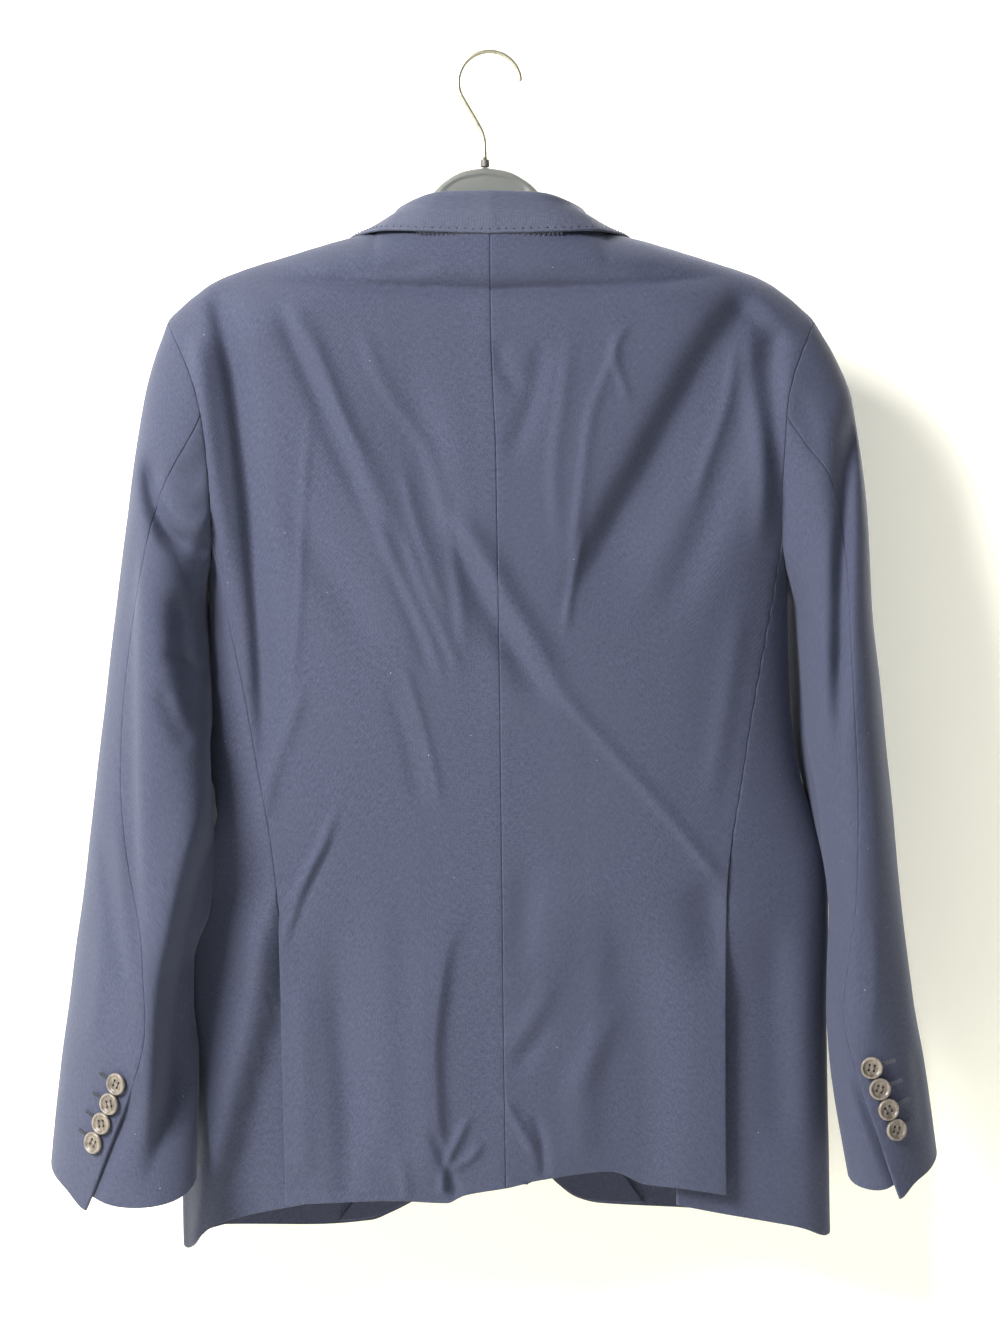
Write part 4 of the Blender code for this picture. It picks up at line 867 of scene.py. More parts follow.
@dataclass
class ClothWall:
    """A cut piece as a thin closed shell on a surface, with its seams and turned edges.

    node is the name of the solid that the piece stands for. width and length are its rough size,
    which sets how many grid lines it gets. edges are those at u = 0, u = 1, v = 0 and v = 1.
    turn_up is how far the cloth is turned in at the v = 1 edge before the lining starts.
    """

    node: str
    surface: Surface
    towards: int
    width: float
    length: float
    edges: tuple[Edge, Edge, Edge, Edge]
    thickness: float = 1.7
    pitch: float = 3.2
    turn_up: float = 0.0
    across_knots: tuple[float, ...] = ()
    seam_roll: float = 0.9
    seam_rise: float = 0.35
    seam_reach: float = 7.0
    seam_ridge: float = 3.5
    closing: float = 0.34
    closing_reach: float = 1.2
    pucker: float = 0.16
    pucker_length: float = 17.0
    pucker_drift: Pair = (2.1, 31.0)
    edge_lines: tuple[float, ...] = (0, 0.3, 0.7, 1.3, 2.2)
    edge_gap: float = 1.4
    least_fill: float = 0.31
    uneven: Undulation = Undulation(seed=11, rise=0.45)

    def places(self, size: float, start: Edge, end: Edge) -> Array:
        """Shares from 0 to 1 for grid lines: even inside, crowded at the two edges.

        Args:
            size: Rough length the lines are spread over.
            start: Finish of the edge at 0.
            end: Finish of the edge at 1.

        Returns:
            The shares.
        """
        close = np.array(self.edge_lines) / size
        count = max(int(size / self.pitch), 4)
        gap = self.edge_gap / size
        inside = np.linspace(close[-1] + gap, 1 - close[-1] - gap, count)
        return np.concatenate([close, inside, 1 - close[::-1]])

    def across_places(self) -> Array:
        """Shares across the piece, through any given knots."""
        plain = self.places(self.width, self.edges[0], self.edges[1])
        if not self.across_knots:
            return plain
        low, high = self.across_knots[0], self.across_knots[-1]
        outside = plain[(plain < low) | (plain > high)]
        return np.unique(np.concatenate([outside, self.across_knots]))

    def distances(self, shown: Array) -> tuple[list[Array], Array, Array]:
        """Distance of each point to the four edges, and its place in the flat cut."""
        steps_u = np.linalg.norm(np.diff(shown, axis=0), axis=-1)
        steps_v = np.linalg.norm(np.diff(shown, axis=1), axis=-1)
        along_u = np.concatenate([np.zeros((1, shown.shape[1])), np.cumsum(steps_u, axis=0)])
        along_v = np.concatenate([np.zeros((shown.shape[0], 1)), np.cumsum(steps_v, axis=1)], axis=1)
        return [along_u, along_u[-1:] - along_u, along_v, along_v[:, -1:] - along_v], along_u, along_v

    def normals(self, shown: Array) -> Array:
        """Unit normals of the grid, out of the shown face."""
        return self.towards * unit(np.cross(np.gradient(shown, axis=0), np.gradient(shown, axis=1)))

    def relief(self, shown: Array, gaps: list[Array], along: tuple[Array, Array]) -> Array:
        """Height of the small forms: rolled edges, pressed seams, pucker and unevenness."""
        height = self.uneven.at(shown)
        for index, (kind, gap) in enumerate(zip(self.edges, gaps)):
            roll = self.seam_roll if kind is Edge.SEAM else self.thickness / 2
            inside = np.clip(roll - gap, 0, roll)
            height = height - (roll - np.sqrt(np.maximum(roll**2 - inside**2, 0)))
            if kind is Edge.SEAM:
                run = along[1] if index < 2 else along[0]
                from_ridge = (gap - self.seam_ridge) / self.seam_reach
                height = height + self.seam_rise * np.exp(-(from_ridge**2))
                drift, slowness = self.pucker_drift
                wave = np.sin(run * FULL_TURN / self.pucker_length + drift * np.sin(run / slowness))
                height = height + self.pucker * wave * np.exp(-gap / self.seam_reach)
        return height

    def close_seams(self, shown: Array, base: Array, gaps: list[Array]) -> Array:
        """Moves the sewn edges out, along the plain surface, to meet their neighbours."""
        made = shown.copy()
        out_u = unit(np.gradient(base, axis=0))
        out_v = unit(np.gradient(base, axis=1))
        for kind, gap, way in zip(self.edges, gaps, (-out_u, out_u, -out_v, out_v)):
            if kind is Edge.SEAM:
                made += way * (self.closing * np.exp(-gap / self.closing_reach))[..., None]
        return made

    def place(self, outer: Material, inner: Material, slot: str = "cloth") -> None:
        """Builds the piece and puts it in its node's place.

        Args:
            outer: Material of the shown face.
            inner: Material of the other face above the turn-up.
            slot: Slot of the material; not used.
        """
        u, v = np.meshgrid(
            self.across_places(), self.places(self.length, self.edges[2], self.edges[3]), indexing="ij"
        )
        base = self.surface(u, v)
        normal = self.normals(base)
        gaps, along_u, along_v = self.distances(base)
        relief = self.relief(base, gaps, (along_u, along_v))
        shown = self.close_seams(base + normal * relief[..., None], base, gaps)
        soft = self.uneven.at(base)
        behind = base + normal * (soft - self.thickness)[..., None]
        behind = self.close_seams(behind, base, gaps)
        obj = self.mesh(shown, behind, np.stack([along_u, along_v], -1), gaps[3], outer, inner)
        self.declare(along_u, along_v, base)
        place_piece(obj, slot, self.node)

    def mesh(
        self,
        shown: Array,
        behind: Array,
        cut: Array,
        to_hem: Array,
        outer: Material,
        inner: Material,
    ) -> Object:
        """Joins the two faces by rims into one closed mesh, mapped by its flat cut."""
        columns, rows = shown.shape[:2]
        far = columns * rows
        index = np.arange(far).reshape(columns, rows)
        quads = np.stack([index[:-1, :-1], index[1:, :-1], index[1:, 1:], index[:-1, 1:]], -1)
        quads = quads.reshape(-1, 4)
        backs = quads[:, ::-1] + far
        lines = (index[::-1, 0], index[:, -1], index[0, :], index[-1, ::-1])
        rims = [np.stack([a[:-1], a[1:], a[1:] + far, a[:-1] + far], -1) for a in lines]
        faces = np.concatenate([quads, backs, *rims])
        if self.towards < 0:
            faces = faces[:, ::-1]
        points = np.concatenate([shown.reshape(-1, 3), behind.reshape(-1, 3)]) * MM
        mesh = bpy.data.meshes.new(f"{self.node}_panel")
        mesh.from_pydata(points.tolist(), [], faces.tolist())
        for finish in (outer, inner):
            mesh.materials.append(finish)
        lined = (to_hem[:-1, :-1] > self.turn_up).reshape(-1)
        slots = np.zeros(len(faces), np.int32)
        slots[len(quads) : 2 * len(quads)] = lined
        mesh.polygons.foreach_set("material_index", slots)
        layer = mesh.uv_layers.new(name=CUT_MAP)
        corners = np.empty(len(mesh.loops), np.int32)
        mesh.loops.foreach_get("vertex_index", corners)
        flat = np.concatenate([cut.reshape(-1, 2)] * 2) * MM
        layer.uv.foreach_set("vector", flat[corners].astype(np.float32).ravel())
        mesh.shade_smooth()
        return add_object(mesh.name, mesh)

    def declare(self, along_u: Array, along_v: Array, base: Array) -> None:
        """Works out the size and area of the piece's flat cut, the net one without its seam allowances, and
        keeps none of them.
        """
        width = along_u[-1].max()
        length = along_v[:, -1].max()
        across = base[1:, :-1] - base[:-1, :-1]
        down = base[:-1, 1:] - base[:-1, :-1]
        area = np.linalg.norm(np.cross(across, down), axis=-1).sum()
        area = min(max(area, self.least_fill * width * length), width * length)
        flat = (round(width * MM, 3), round(length * MM, 3))
        area = min(area * MM * MM, flat[0] * flat[1])


# ---- pieces of the body ----
@dataclass
class Body:
    """Back, side and front panels, cut to meet along the armholes and side seams."""

    seam_turn: float = math.radians(134.6)
    arm_rows: int = 7
    seam_rows: int = 8
    hem_rows: int = 8
    seam_gap: float = 0.3
    centre_gap: float = 0.21
    side_seam_back: Table = table_of(
        level=(-345, -391, -460, -518, -557, -596, -695, -845),
        x=(199.5, 191.5, 177.5, 167.5, 160.5, 156.5, 154.5, 153),
    )
    side_seam_front: Table = table_of(
        level=(-345, -391, -460, -560, -700, -845),
        x=(199.5, 192, 189, 197, 204, 203),
    )
    vent_top: float = -597
    vent_lap: float = 34
    vent_lap_depth: float = 0.12
    vent_lap_start: float = 90
    vent_lap_end: float = 0.34
    vent_step: dict[int, float] = by_side(3.4, 2.3)
    vent_step_start: float = 60
    vent_step_fade: Pair = (0.17, 0.34)
    side_folds_fade: Pair = (0.3, 0.5)
    armhole_ease: float = 0.12
    hem_ease: Pair = (0.7, 1)
    back_hem: dict[int, Table] = by_side(
        dict(x=(0, 31, 42, 83, 119, 158), level=(-797, -802.5, -807.5, -806, -807.5, -810)),
        dict(x=(0, 26, 75, 101, 128, 158), level=(-797, -791.5, -786.5, -796, -798.5, -803)),
    )
    side_hem: dict[int, Table] = by_side(
        dict(across=(0, 0.25, 0.5, 0.75, 1), level=(-806, -823, -845, -842, -836)),
        dict(across=(0, 0.25, 0.5, 0.75, 1), level=(-811, -826, -836, -834, -829)),
    )
    front_hem: dict[int, Table] = by_side(
        dict(x=(24, 44, 66, 87, 101, 140, 210), level=(-790, -808, -821, -831, -836, -838.5, -836)),
        dict(x=(16, 34, 53, 70, 130, 210), level=(-785, -806, -820, -824, -826.5, -829)),
    )
    # Inner edge of each front: the roll line down to the top button, the edge, the cutaway.
    front_edges: dict[int, Table] = by_side(
        dict(
            level=(-128, -165, -205, -260, -320, -400, -470, -520, -545, -675, -720, -755, -790),
            x=(80, 69, 60, 48, 34, 14.5, -4, -15.5, -19.5, -20, -15, -1.5, 24),
        ),
        dict(
            level=(-128, -165, -205, -260, -320, -400, -470, -520, -545, -675, -715, -750, -785),
            x=(80, 69, 60, 48, 34, 14.5, -4, -15.5, -19.5, -20, -16, -5, 16),
        ),
    )
    turn_up: float = 26.0

    @property
    def arm_share(self) -> float:
        """Share of a panel's rows that lie along the armhole."""
        return self.arm_rows / (self.arm_rows + self.seam_rows + self.hem_rows)

    @property
    def seam_share(self) -> float:
        """Share of the rows below the armhole that lie above the vent's top."""
        return self.seam_rows / (self.seam_rows + self.hem_rows)

    def outer_edge(self, v: Array, hem: float, seam: Table) -> tuple[Array, Array]:
        """Armhole and then side seam of a back or front panel, as x and level."""
        share = self.arm_share
        in_armhole = v < share
        arm_level = TORSO.armhole_level(self.seam_turn * np.clip(v / share, 0, 1))
        below = np.clip((v - share) / (1 - share), 0, 1)
        top = TORSO.armhole_level(self.seam_turn)
        upper = mix(top, self.vent_top, np.clip(below / self.seam_share, 0, 1))
        lower_share = np.clip((below - self.seam_share) / (1 - self.seam_share), 0, 1)
        low = np.where(below < self.seam_share, upper, mix(self.vent_top, hem, lower_share))
        seam_x = read(seam, "x", low) - self.seam_gap / 2
        x = np.where(in_armhole, read(TORSO.armhole, "x", arm_level), seam_x)
        return x, np.where(in_armhole, arm_level, low)

    def back(self, side: int, u: Array, v: Array) -> Array:
        """Point of a half back: u from the centre seam, v from the shoulder."""
        hem = self.back_hem[side]
        low = hem["level"][-1]
        edge_x, edge_level = self.outer_edge(v, low, self.side_seam_back)
        fall = (edge_level - TORSO.armhole_top) / (low - TORSO.armhole_top)
        top_x = mix(self.centre_gap, read(TORSO.armhole, "x", TORSO.armhole_top), u)
        top = read(TORSO.shoulder, "level", top_x)
        level = mix(top, read(hem, "level", u * hem["x"][-1]), fall)
        x = mix(self.centre_gap, edge_x, u)
        return TORSO.point(side, TORSO.turn_at(x, level), level)

    def side_turn(self, u: Array, level: Array) -> Array:
        """Turn at a share of the way from the back seam to the front one."""
        gap = self.seam_gap / 2
        start = TORSO.turn_at(read(self.side_seam_back, "x", level) + gap, level)
        end = TORSO.turn_at(read(self.side_seam_front, "x", level) + gap, level, front=True)
        return mix(start, end, u)

    def side(self, side: int, u: Array, v: Array) -> Array:
        """Point of a side panel with its underlap: u from the back seam, v from the armhole."""
        hem = self.side_hem[side]
        share = self.seam_share
        angle = mix(self.seam_turn, FULL_TURN - self.seam_turn, u)
        arm_level = TORSO.armhole_level(angle)
        upper = mix(arm_level, self.vent_top, np.clip(v / share, 0, 1))
        low = mix(self.vent_top, read(hem, "level", u), np.clip((v - share) / (1 - share), 0, 1))
        level = np.where(v < share, upper, low)
        arm_turn = TORSO.turn_at(read(TORSO.armhole, "x", arm_level), arm_level)
        arm_turn = np.where(angle > math.pi, 2 - arm_turn, arm_turn)
        correction = arm_turn - self.side_turn(u, arm_level)
        turn = self.side_turn(u, level) + correction * (1 - ease(v, 0, self.armhole_ease))
        point = TORSO.point(side, turn, level)
        reach = ease(-level, -self.vent_top, self.vent_lap_start - self.vent_top)
        lap = self.vent_lap * reach * (1 - ease(u, 0, self.vent_lap_end))
        down = ease(-level, -self.vent_step_start - self.vent_top, -self.vent_top)
        inset = self.vent_step[side] * down * (1 - ease(u, *self.vent_step_fade))
        point[..., 0] -= side * lap
        folds = folds_height(SIDE_FOLDS, point[..., 0], point[..., 2])
        folds = folds * (1 - ease(u, *self.side_folds_fade))
        point[..., 1] += inset + self.vent_lap_depth * lap - folds
        return point

    def front_edge(self, side: int, share: Array | float) -> tuple[Array, Array]:
        """Inner edge of a front from the neck to the end of the cutaway, as x and level."""
        table = self.front_edges[side]
        level = mix(table["level"][0], table["level"][-1], share)
        return read(table, "x", level), level

    def fall_share(self, side: int, v: Array) -> Array:
        """Share of the way down the outer edge at each row, which the inner edge keeps to."""
        low = self.side_hem[side]["level"][-1]
        level = self.outer_edge(v, low, self.side_seam_front)[1]
        return (level - TORSO.armhole_top) / (low - TORSO.armhole_top)

    def front(self, side: int, u: Array, v: Array) -> Array:
        """Point of a front: u from its inner edge, v from the shoulder."""
        hem = self.front_hem[side]
        low = self.side_hem[side]["level"][-1]
        edge_x, edge_level = self.outer_edge(v, low, self.side_seam_front)
        inner_x, inner_level = self.front_edge(side, self.fall_share(side, v))
        x = mix(inner_x, edge_x, u)
        level = mix(inner_level, edge_level, u)
        armhole_x = read(TORSO.armhole, "x", TORSO.armhole_top)
        top = read(TORSO.shoulder, "level", mix(TORSO.neck_half_width, armhole_x, u))
        straight_top = mix(self.front_edge(side, 0)[1], TORSO.armhole_top, u)
        level = level + (1 - v) ** 2 * (top - straight_top)
        bottom = read(hem, "level", mix(hem["x"][0], hem["x"][-1], u))
        straight = mix(hem["level"][0], low, u)
        level = level + ease(v, *self.hem_ease) * (bottom - straight)
        return TORSO.point(side, TORSO.turn_at(x, level, front=True), level)

    def build(self, finishes: Finishes) -> None:
        """Builds the six panels."""
        seam = Edge.SEAM
        folded = Edge.FOLDED
        for side, name in SIDE_NAMES.items():
            walls = (
                (f"back_{name}", self.back, -side, 200, 690, (seam, seam, seam, folded), 2.3),
                (f"side_{name}", self.side, -side, 105, 480, (seam, seam, seam, folded), 2.8),
                (f"front_{name}", self.front, side, 215, 700, (folded, seam, seam, folded), 2.8),
            )
            for node, surface, *cut, pitch in walls:
                wall = ClothWall(node, partial(surface, side), *cut, pitch=pitch, turn_up=self.turn_up)
                wall.place(finishes.cloth, finishes.lining)


@dataclass
class Facings:
    """Facing of each front: a strip inside it, round its edge and out over it as the lapel."""

    body: Body
    cloth: float = 1.8
    thickness: float = 1.5
    strip_end: float = 0.42
    lapel_start: float = 0.58
    round_steps: int = 9
    gorge_row: int = 3
    gorge_level: float = -172
    roll_end: float = -545
    width_top: float = 12
    width_break: float = 48
    inner_hem: dict[int, float] = by_side(122, 100)
    hem_level: float = 800
    edge_roll: float = 1.2
    strip_ease: float = 1.3
    strip_ease_end: float = 0.35
    lapel_ease: float = 0.9
    lapel_ease_end: float = 0.3
    top_slope: float = 0.72
    top_end: float = 330
    belly: float = 4
    belly_width: float = 60
    belly_levels: Pair = (380, 440)
    hem_step: float = 2
    edge_step: float = 0.002
    corner_levels: Pair = (600, 700)
    lapel_edge: Table = table_of(
        level=(-170, -210, -260, -330, -400, -470, -520, -545),
        x=(130, 125, 108, 84, 57, 26, -1, -16),
    )

    def away(self, side: int, share: Array) -> Array:
        """Unit direction out of the front across its edge, as (x, level)."""
        low_x, low_level = self.body.front_edge(side, np.clip(share - self.edge_step, 0, 1))
        high_x, high_level = self.body.front_edge(side, np.clip(share + self.edge_step, 0, 1))
        way = unit(np.stack([high_level - low_level, -(high_x - low_x)], -1))
        turned = ease(-self.body.front_edge(side, share)[1], *self.corner_levels)[..., None]
        return unit(mix(np.array([-1.0, 0.0]), way, turned))

    def point(self, side: int, u: Array, v: Array) -> Array:
        """Point of a facing: u from its inner edge to the lapel's edge, v from the gorge."""
        hem = self.body.front_hem[side]
        corner_x = hem["x"][0]
        first = self.gorge_row / (self.body.arm_rows + self.body.seam_rows + self.body.hem_rows)
        share = self.body.fall_share(side, mix(first, 1, v))
        edge_x, edge_level = self.body.front_edge(side, share)
        fall = -edge_level
        away = self.away(side, share)
        in_strip = np.clip(1 - u / self.strip_end, 0, 1)
        turned = (u - self.strip_end) / (self.lapel_start - self.strip_end)
        round_edge = np.clip(turned, 0, 1) * math.pi
        in_lapel = np.clip((u - self.lapel_start) / (1 - self.lapel_start), 0, 1)
        above_roll = edge_level > self.roll_end
        roll_share = ease(fall, -self.gorge_level, -self.roll_end)
        above = mix(self.width_top, self.width_break, roll_share)
        hem_width = self.inner_hem[side] - corner_x
        below = mix(self.width_break, hem_width, ease(fall, -self.roll_end, self.hem_level))
        strip = np.where(above_roll, above, below)
        lapel = np.where(above_roll, read(self.lapel_edge, "x", edge_level) - edge_x, 0)
        lapel = np.maximum(lapel, self.edge_roll)
        radius = self.cloth / 2 + self.body.seam_gap + self.thickness
        outside = radius * np.sin(round_edge) - lapel * in_lapel
        x = edge_x + strip * in_strip + away[..., 0] * outside
        level = edge_level + away[..., 1] * outside
        near_top = 1 - ease(fall, -self.gorge_level, self.top_end)
        level = level - self.top_slope * lapel * in_lapel * near_top
        strip_hem = read(hem, "level", corner_x + strip * in_strip) + self.hem_step * in_strip
        level = level + (strip_hem - hem["level"][0]) * ease(v, *self.body.hem_ease)
        height = -self.cloth / 2 - radius * np.cos(round_edge)
        height = height - self.strip_ease * ease(in_strip, 0, self.strip_ease_end)
        height = height + self.lapel_ease * ease(in_lapel, 0, self.lapel_ease_end)
        belly = self.belly * np.sin(math.pi * in_lapel)
        belly = belly * np.clip(lapel / self.belly_width, 0, 1)
        belly = belly * (1 - ease(fall, *self.belly_levels))
        point = TORSO.point(side, TORSO.turn_at(x, level, front=True), level)
        point[..., 1] += height + belly
        return point

    def build(self, finishes: Finishes) -> None:
        """Builds both facings."""
        for side, name in SIDE_NAMES.items():
            surface = partial(self.point, side)
            wall = ClothWall(f"facing_{name}", surface, side, 160, 665, FOLDED_ROUND, self.thickness)
            wall.across_knots = tuple(np.linspace(self.strip_end, self.lapel_start, self.round_steps))
            wall.place(finishes.cloth, finishes.cloth, "facing")


@dataclass
class Collar:
    """One-piece collar: a stand inside the neck, a fold, and a fall that lies over the shoulders.

    The table's rows are sections from the centre back, at 0, to the gorge, at 1. Each column holds
    one key point of the section as x, y and level.
    """

    fold_radius: float = 2.6
    stand_hollow: float = 0.8
    fall_crown: float = 0.6
    fall_crown_place: float = 0.55
    width: float = 420
    length: float = 62
    sections: Table = table_of(
        at=(0, 0.2, 0.38, 0.55, 0.7, 0.85, 1),
        seam=(
            (0, -43.8, -125.5), (38, -37.5, -126), (60, -23.5, -126.5), (77.3, -2, -126),
            (76.2, 20, -132), (70.3, 44, -152), (62.5, 51, -169.5),
        ),
        fold=(
            (0, -47.5, -104), (34, -44, -104.8), (51, -32, -107.8), (62.5, -2, -113),
            (63.5, 20, -121), (63.5, 44, -146), (63, 58, -169),
        ),
        middle=(
            (0, -53.2, -119.5), (40, -49.5, -119), (64, -38, -119), (80, -2, -121.8),
            (86, 26, -128.5), (92, 49, -152), (103, 62, -191.5),
        ),
        edge=(
            (0, -56.5, -135), (44, -53.5, -133.2), (74, -42, -130.6), (96, -2, -128.6),
            (106, 22, -135), (115, 45, -152.5), (121, 57.5, -175),
        ),
    )

    def point(self, u: Array, v: Array) -> Array:
        """Point of the collar: u from the left gorge to the right one, v from the neck seam."""
        at = np.abs(u * 2 - 1)
        mirror = np.where(u < 0.5, -1.0, 1.0)
        seam = read(self.sections, "seam", at)
        fold = read(self.sections, "fold", at)
        middle = read(self.sections, "middle", at)
        edge = read(self.sections, "edge", at)
        out = edge - seam
        up = unit(fold - (seam + edge) / 2)
        out = unit(out - up * np.sum(out * up, axis=-1, keepdims=True))
        knots = np.stack(
            [
                seam,
                mix(seam, fold, 0.5) - out * self.stand_hollow,
                fold - (out + up) * self.fold_radius,
                fold,
                fold + (out - up) * self.fold_radius,
                mix(fold, middle, self.fall_crown_place) + up * self.fall_crown,
                middle,
                mix(middle, edge, 0.5),
                edge,
            ],
            axis=-2,
        )
        last = knots.shape[-2] - 1
        place = np.clip(v * last, 0, last - 1e-9)
        index = place.astype(int)
        t = (place - index)[..., None]

        def pick(i: Array) -> Array:
            """Knot i of each section."""
            spread = i[..., None, None] + np.zeros(i.shape + (1, 3), int)
            return np.take_along_axis(knots, spread, axis=-2)[..., 0, :]

        around = [pick(np.clip(index + step, 0, last)) for step in (-1, 0, 1, 2)]
        point = curve_between(*around, t)
        point[..., 0] *= mirror
        return point

    def build(self, finishes: Finishes) -> None:
        """Builds the collar."""
        uneven = Undulation(seed=5, rise=0.18)
        size = (self.width, self.length)
        wall = ClothWall("collar", self.point, -1, *size, FOLDED_ROUND, pitch=2.0, uneven=uneven)
        wall.place(finishes.collar_cloth_painted_light, finishes.felt)


@dataclass
class Sleeves:
    """Two-piece sleeves. Rings run from the armhole to the cuff, a row for each.

    Outer and inner are a ring's two ends seen from behind, as x and level; their y places them.
    back and front are the half depths, drop how much lower the ring's back is than its middle, and
    elbow the angle of the elbow seam.
    """

    body: Body
    tables: dict[int, Table] = by_side(
        dict(
            along=(0, 0.038, 0.076, 0.187, 0.274, 0.37, 0.465, 0.543, 0.64, 0.712, 0.773, 0.851, 1),
            outer_x=(228, 238, 245, 257, 264, 270.4, 276.8, 281.5, 287.9, 293, 296.6, 302.2, 309.4),
            outer_z=(-190.5, -217, -246, -330, -388, -445, -501, -545, -600, -638, -670, -712, -782),
            inner_x=(201, 201, 200.5, 198, 196.5, 195, 193, 191.5, 196, 207, 207.5, 203.5, 202.5),
            inner_z=(-372, -384, -393, -420, -450, -489, -528, -562, -606, -640, -669, -707, -788),
            outer_y=(0, 0, 0, 0, -2, -4, -6, -8, -10, -12, -14, -15, -15),
            inner_y=(0, -2, -5, -14, -26, -38, -47, -53, -56, -57, -58, -58, -58),
            back=(40, 44, 47, 51, 52, 50, 47, 45, 42, 41, 40, 39, 37),
            front=(40, 45, 50, 58, 62, 64, 65, 65, 63, 61, 59, 56, 50),
            drop=(0, 0, 0, 0, 0, 0, 3, 5, 9, 12, 15, 18, 21),
            elbow=(76.9, 76.9, 76, 66, 59, 56, 60, 70, 92, 108, 112, 98, 64),
        ),
        dict(
            along=(0, 0.038, 0.076, 0.187, 0.274, 0.37, 0.465, 0.543, 0.64, 0.712, 0.773, 0.851, 1),
            outer_x=(228, 244, 256, 267, 269.5, 275, 280.5, 285.2, 290, 295.7, 298.4, 306.2, 314.9),
            outer_z=(-190.5, -217, -246, -330, -388, -445, -501, -545, -600, -649, -671, -712, -775),
            inner_x=(211, 213, 215, 217, 219, 222.5, 230, 233.8, 237, 235, 234.6, 237, 250),
            inner_z=(-372, -384, -393, -420, -445, -485, -529, -569, -608, -652, -671, -710, -790),
            outer_y=(0, 0, 0, 0, 0, -2, -4, -6, -8, -10, -12, -13, -15),
            inner_y=(0, -1, -2, -6, -12, -18, -24, -29, -33, -35, -36, -36, -36),
            back=(40, 44, 47, 51, 53, 53, 51, 50, 48, 46, 46, 46, 42),
            front=(40, 45, 50, 58, 62, 64, 65, 65, 63, 61, 59, 56, 50),
            drop=(0, 0, 0, 0, 0, 0, 1, 2, 4, 6, 8, 9, 11),
            elbow=(76.9, 76.9, 76, 76, 78, 84, 94, 104, 118, 132, 136, 122, 90),
        ),
    )
    blend: float = 0.12
    front_seam: float = -115.4
    seam_gap: float = 0.2
    inner_taper: float = 0.62
    inner_fade: float = 0.6
    taper_fade: Pair = (0.1, 0.5)
    fullness: dict[int, Table] = by_side(
        dict(
            along=(0, 0.03, 0.06, 0.08, 0.1, 0.14, 0.18, 0.26, 0.3, 0.34, 0.38, 0.42, 1),
            inward=(0, 0, 4.5, 8.5, 11, 12, 11.8, 11, 9, 6, 2, 0, 0),
            ahead=(0, 12, 22, 24, 24, 24, 24, 24, 22, 14, 6, 0, 0),
        ),
        dict(
            along=(0, 0.05, 0.08, 0.1, 0.14, 0.22, 0.3, 0.38, 0.42, 0.46, 0.5, 0.54, 0.58, 0.62, 1),
            inward=(0, 0, 4, 6.5, 8.5, 10.5, 13, 15, 15.5, 14.5, 10.5, 5, 2, 0, 0),
            ahead=(0, 10, 24, 24, 24, 24, 24, 24, 24, 24, 18, 12, 4, 0, 0),
        ),
    )
    fullness_powers: Pair = (1.6, 0.7)
    armhole_gap: float = 0.3
    turn_up: float = 32.0
    corner_drop: float = 8.0
    corner_reach: float = 13.0
    corner_round: float = 3.0
    corner_start: float = 0.9
    vent_lap: float = 0.12
    vent_depth: float = 4.2
    vent_start: float = 0.83
    vent_end: float = 0.89
    vent_reach: float = 0.3
    ring_radius: float = 50
    rows_length: float = 520
    buttons_row: float = 0.9
    seam_tries: int = 12
    seam_step: float = 0.004

    def armhole_point(self, side: int, angle: Array) -> Array:
        """Edge of the armhole: angle 0 at the shoulder, then down the back and up the front."""
        level = TORSO.armhole_level(angle)
        turn = TORSO.turn_at(read(TORSO.armhole, "x", level), level)
        turn = np.where(np.sin(angle) < 0, 2 - turn, turn)
        return TORSO.point(side, turn, level)

    def ring_end(self, side: int, end: str, along: Array) -> Array:
        """One end of the rings, outer or inner, as a point."""
        table = self.tables[side]
        x = side * read(table, end + "_x", along)
        return np.stack([x, read(table, end + "_y", along), read(table, end + "_z", along)], -1)

    def ring_point(self, side: int, angle: Array, along: Array) -> Array:
        """Ring of a sleeve: angle 0 at its outer end, a quarter turn at its back, with folds."""
        table = self.tables[side]
        share = ((1 - np.cos(angle)) / 2)[..., None]
        outer = self.ring_end(side, "outer", along)
        point = mix(outer, self.ring_end(side, "inner", along), share)
        sine = np.sin(angle)
        narrowed = np.clip((1 + np.cos(angle)) / 2, 0, 1) ** self.inner_taper
        taper = mix(1, narrowed, ease(along, *self.taper_fade))
        back = read(table, "back", along)
        front = read(table, "front", along) * taper
        point[..., 1] -= np.where(sine > 0, back, front) * sine
        point[..., 2] -= read(table, "drop", along) * sine
        by_sine, by_cosine = self.fullness_powers
        full = 2 * np.clip(-sine, 0, 1) ** by_sine * np.clip(-np.cos(angle), 0, 1) ** by_cosine
        point[..., 0] -= side * full * read(self.fullness[side], "inward", along)
        point[..., 1] += full * read(self.fullness[side], "ahead", along)
        behind = folds_height(SLEEVE_BACK_FOLDS, point[..., 0], point[..., 2])
        ahead = folds_height(SLEEVE_FRONT_FOLDS, point[..., 0], point[..., 2])
        inward = -np.cos(angle)
        inner = np.where(sine > 0, 1, ease(inward, 0, self.inner_fade))
        point[..., 1] -= behind * np.where(inward > 0, inner, np.clip(sine * 2, 0, 1))
        point[..., 1] += ahead * np.clip(-sine * 2, 0, 1)
        return point

    def point(self, side: int, angle: Array, along: Array) -> Array:
        """Outer face of a sleeve: the armhole's edge at the top, easing into the rings."""
        start = self.armhole_point(side, angle)
        start[..., 0] += side * self.armhole_gap
        correction = start - self.ring_point(side, angle, np.zeros_like(along))
        fade = (1 - ease(along, 0, self.blend))[..., None]
        return self.ring_point(side, angle, along) + correction * fade

